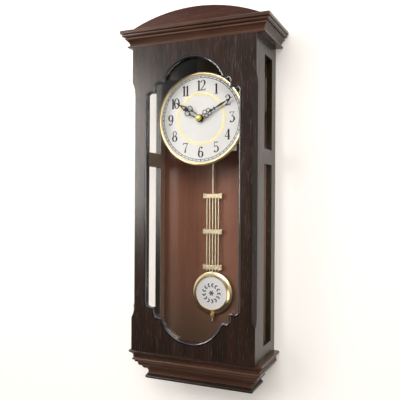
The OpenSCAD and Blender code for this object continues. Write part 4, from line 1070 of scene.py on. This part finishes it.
@dataclass
class Studio:
    """White wall, pale floor, soft lamps and the camera at the photograph's view."""

    eye: Point = (0.39476, -0.98014, -0.26666)
    yaw: float = 23.598
    pitch: float = 0.025
    roll: float = -0.332
    lens: float = 48.84
    sensor: float = 36.0
    clip: tuple[float, float] = (0.02, 50.0)
    sheet_size: float = 6.0
    wall_y: float = 0.8 * MM
    floor_z: float = -1.15
    paint: RGB = (0.92, 0.915, 0.91)
    paint_shade: RGB = (0.90, 0.895, 0.89)
    paint_rough: float = 0.9
    speck: Noise = Noise(8, 2, 0.55)
    glow: RGB = (1.0, 0.90, 0.78)
    glow_strength: float = 0.28
    ambient: float = 0.30
    ambient_low: float = 0.06
    ambient_heights: tuple[float, float] = (-0.6, 0.4)
    room: float = 0.03
    overhead: Patch = Patch((0, 0.1, 0.995), 0.55, 0.9, 2.6)
    overhead_tint: RGB = (0.55, 0.56, 1.0)
    patches: tuple[Patch, ...] = (
        Patch((0.45, -0.86, -0.24), 0.90, 0.97, 0.6),
        Patch((0.92, -0.22, -0.32), 0.86, 0.95, 2.8),
        Patch((-0.80, -0.46, 0.38), 0.80, 0.94, 1.4),
    )
    lamps: tuple[Lamp, ...] = (
        Lamp("card", (-1.19, -1.66, 0.0), (0.27, 0.80), 23, on_matt=False),
        Lamp("key", (-1.10, -1.75, 0.30), (1.3, 1.3), 20, on_shiny=False),
        Lamp("front", (0.40, -1.95, 0.90), (1.4, 1.0), 31),
        Lamp("fill", (0.95, -1.75, 0.0), (0.9, 0.9), 2),
    )

    def camera(self) -> None:
        """Places the camera by the fit to the photograph."""
        yaw, pitch, roll = (math.radians(v) for v in (self.yaw, self.pitch, self.roll))
        ahead = Vector((-math.sin(yaw) * math.cos(pitch), math.cos(yaw) * math.cos(pitch), math.sin(pitch)))
        right = Vector((math.cos(yaw), math.sin(yaw), 0))
        up = right.cross(ahead)
        turned = right * math.cos(roll) - up * math.sin(roll)
        raised = right * math.sin(roll) + up * math.cos(roll)
        data = bpy.data.cameras.new("camera")
        data.sensor_width = self.sensor
        data.lens = self.lens
        data.clip_start, data.clip_end = self.clip
        camera = bpy.data.objects.new("camera", data)
        basis = Matrix((turned, raised, -ahead)).transposed()
        camera.matrix_world = Matrix.Translation(self.eye) @ basis.to_4x4()
        bpy.context.scene.collection.objects.link(camera)
        bpy.context.scene.camera = camera

    def sheet(self, name: str, place: Matrix, material: bpy.types.Material) -> None:
        """Adds a flat square of the set that isn't part of the clock.

        Args:
            name: its name.
            place: the matrix that places it.
            material: its material.
        """
        mesh = bmesh.new()
        bmesh.ops.create_grid(mesh, x_segments=1, y_segments=1, size=self.sheet_size / 2, matrix=place)
        data = bpy.data.meshes.new(name)
        mesh.to_mesh(data)
        mesh.free()
        data.materials.append(material)
        piece = bpy.data.objects.new(name, data)
        bpy.context.scene.collection.objects.link(piece)

    def set_paint(self, name: str, mirrored: bool) -> bpy.types.Material:
        """Makes the white of the wall or the floor, seen only from its front, with the clock's shadow.

        Args:
            name: the material's name.
            mirrored: whether metal, varnish and glass show it too.

        Returns:
            The material.
        """
        material, shader = start_material(name)
        tree = material.node_tree
        speck = self.speck.place(tree, object_vector(tree))
        feed_all(tree, shader, {"Base Color": blend(tree, speck, self.paint, self.paint_shade),
                                "Roughness": self.paint_rough, "Specular IOR Level": 0.0,
                                "Emission Color": self.glow, "Emission Strength": self.glow_strength})
        light = tree.nodes.new("ShaderNodeLightPath")
        side = tree.nodes.new("ShaderNodeNewGeometry")
        clear = tree.nodes.new("ShaderNodeBsdfTransparent")
        seen = light.outputs["Is Camera Ray"]
        if mirrored:
            for ray in ("Is Glossy Ray", "Is Transmission Ray"):
                seen = calc(tree, "MAXIMUM", seen, light.outputs[ray])
        front = calc(tree, "SUBTRACT", seen, side.outputs["Backfacing"])
        show(tree, front, clear.outputs["BSDF"], shader.outputs["BSDF"])
        return material

    def world(self) -> None:
        """Lights matt surfaces from all round, shows the room to shiny ones and white to the camera."""
        world = bpy.data.worlds.new("studio")
        world.use_nodes = True
        tree = world.node_tree
        light = tree.nodes.new("ShaderNodeLightPath")
        way = tree.nodes.new("ShaderNodeTexCoord").outputs["Generated"]
        soft = calc(tree, "MINIMUM", light.outputs["Diffuse Depth"], 1)
        shiny = calc(tree, "MINIMUM", light.outputs["Glossy Depth"], 1)
        overhead = self.overhead.place(tree, way)
        room = calc(tree, "ADD", overhead, self.room)
        for patch in self.patches:
            room = calc(tree, "MAXIMUM", room, patch.place(tree, way))
        axes = tree.nodes.new("ShaderNodeSeparateXYZ")
        feed(tree, way, axes.inputs["Vector"])
        around = remap(tree, axes.outputs["Z"], *self.ambient_heights, self.ambient_low, self.ambient)
        seen = blend(tree, shiny, 1.0, room, "FLOAT")
        blue = calc(tree, "MULTIPLY", calc(tree, "MINIMUM", overhead, 1), shiny)
        blue = calc(tree, "MINIMUM", blue, calc(tree, "SUBTRACT", shiny, soft))
        back = tree.nodes["Background"]
        feed(tree, blend(tree, blue, WHITE, self.overhead_tint), back.inputs["Color"])
        feed(tree, blend(tree, soft, seen, around, "FLOAT"), back.inputs["Strength"])
        bpy.context.scene.world = world

    def build(self) -> None:
        """Makes the whole set."""
        self.camera()
        wall = Matrix.Translation((0, self.wall_y, 0)) @ Matrix.Rotation(math.pi / 2, 4, "X")
        self.sheet("wall", wall, self.set_paint("wall_white", True))
        floor = Matrix.Translation((0, self.wall_y - self.sheet_size / 2, self.floor_z))
        self.sheet("floor", floor, self.set_paint("floor_white", False))
        self.world()
        for lamp in self.lamps:
            lamp.place()
        bpy.context.scene.view_settings.view_transform = "Standard"


def main() -> None:
    """Builds the set and the sub-assemblies in order."""
    logging.basicConfig(level=logging.INFO, format="%(message)s")
    Studio().build()
    for part in (Case(), Door(), Dial(), Movement(), Pendulum()):
        part.build()


if __name__ == "__main__":
    main()
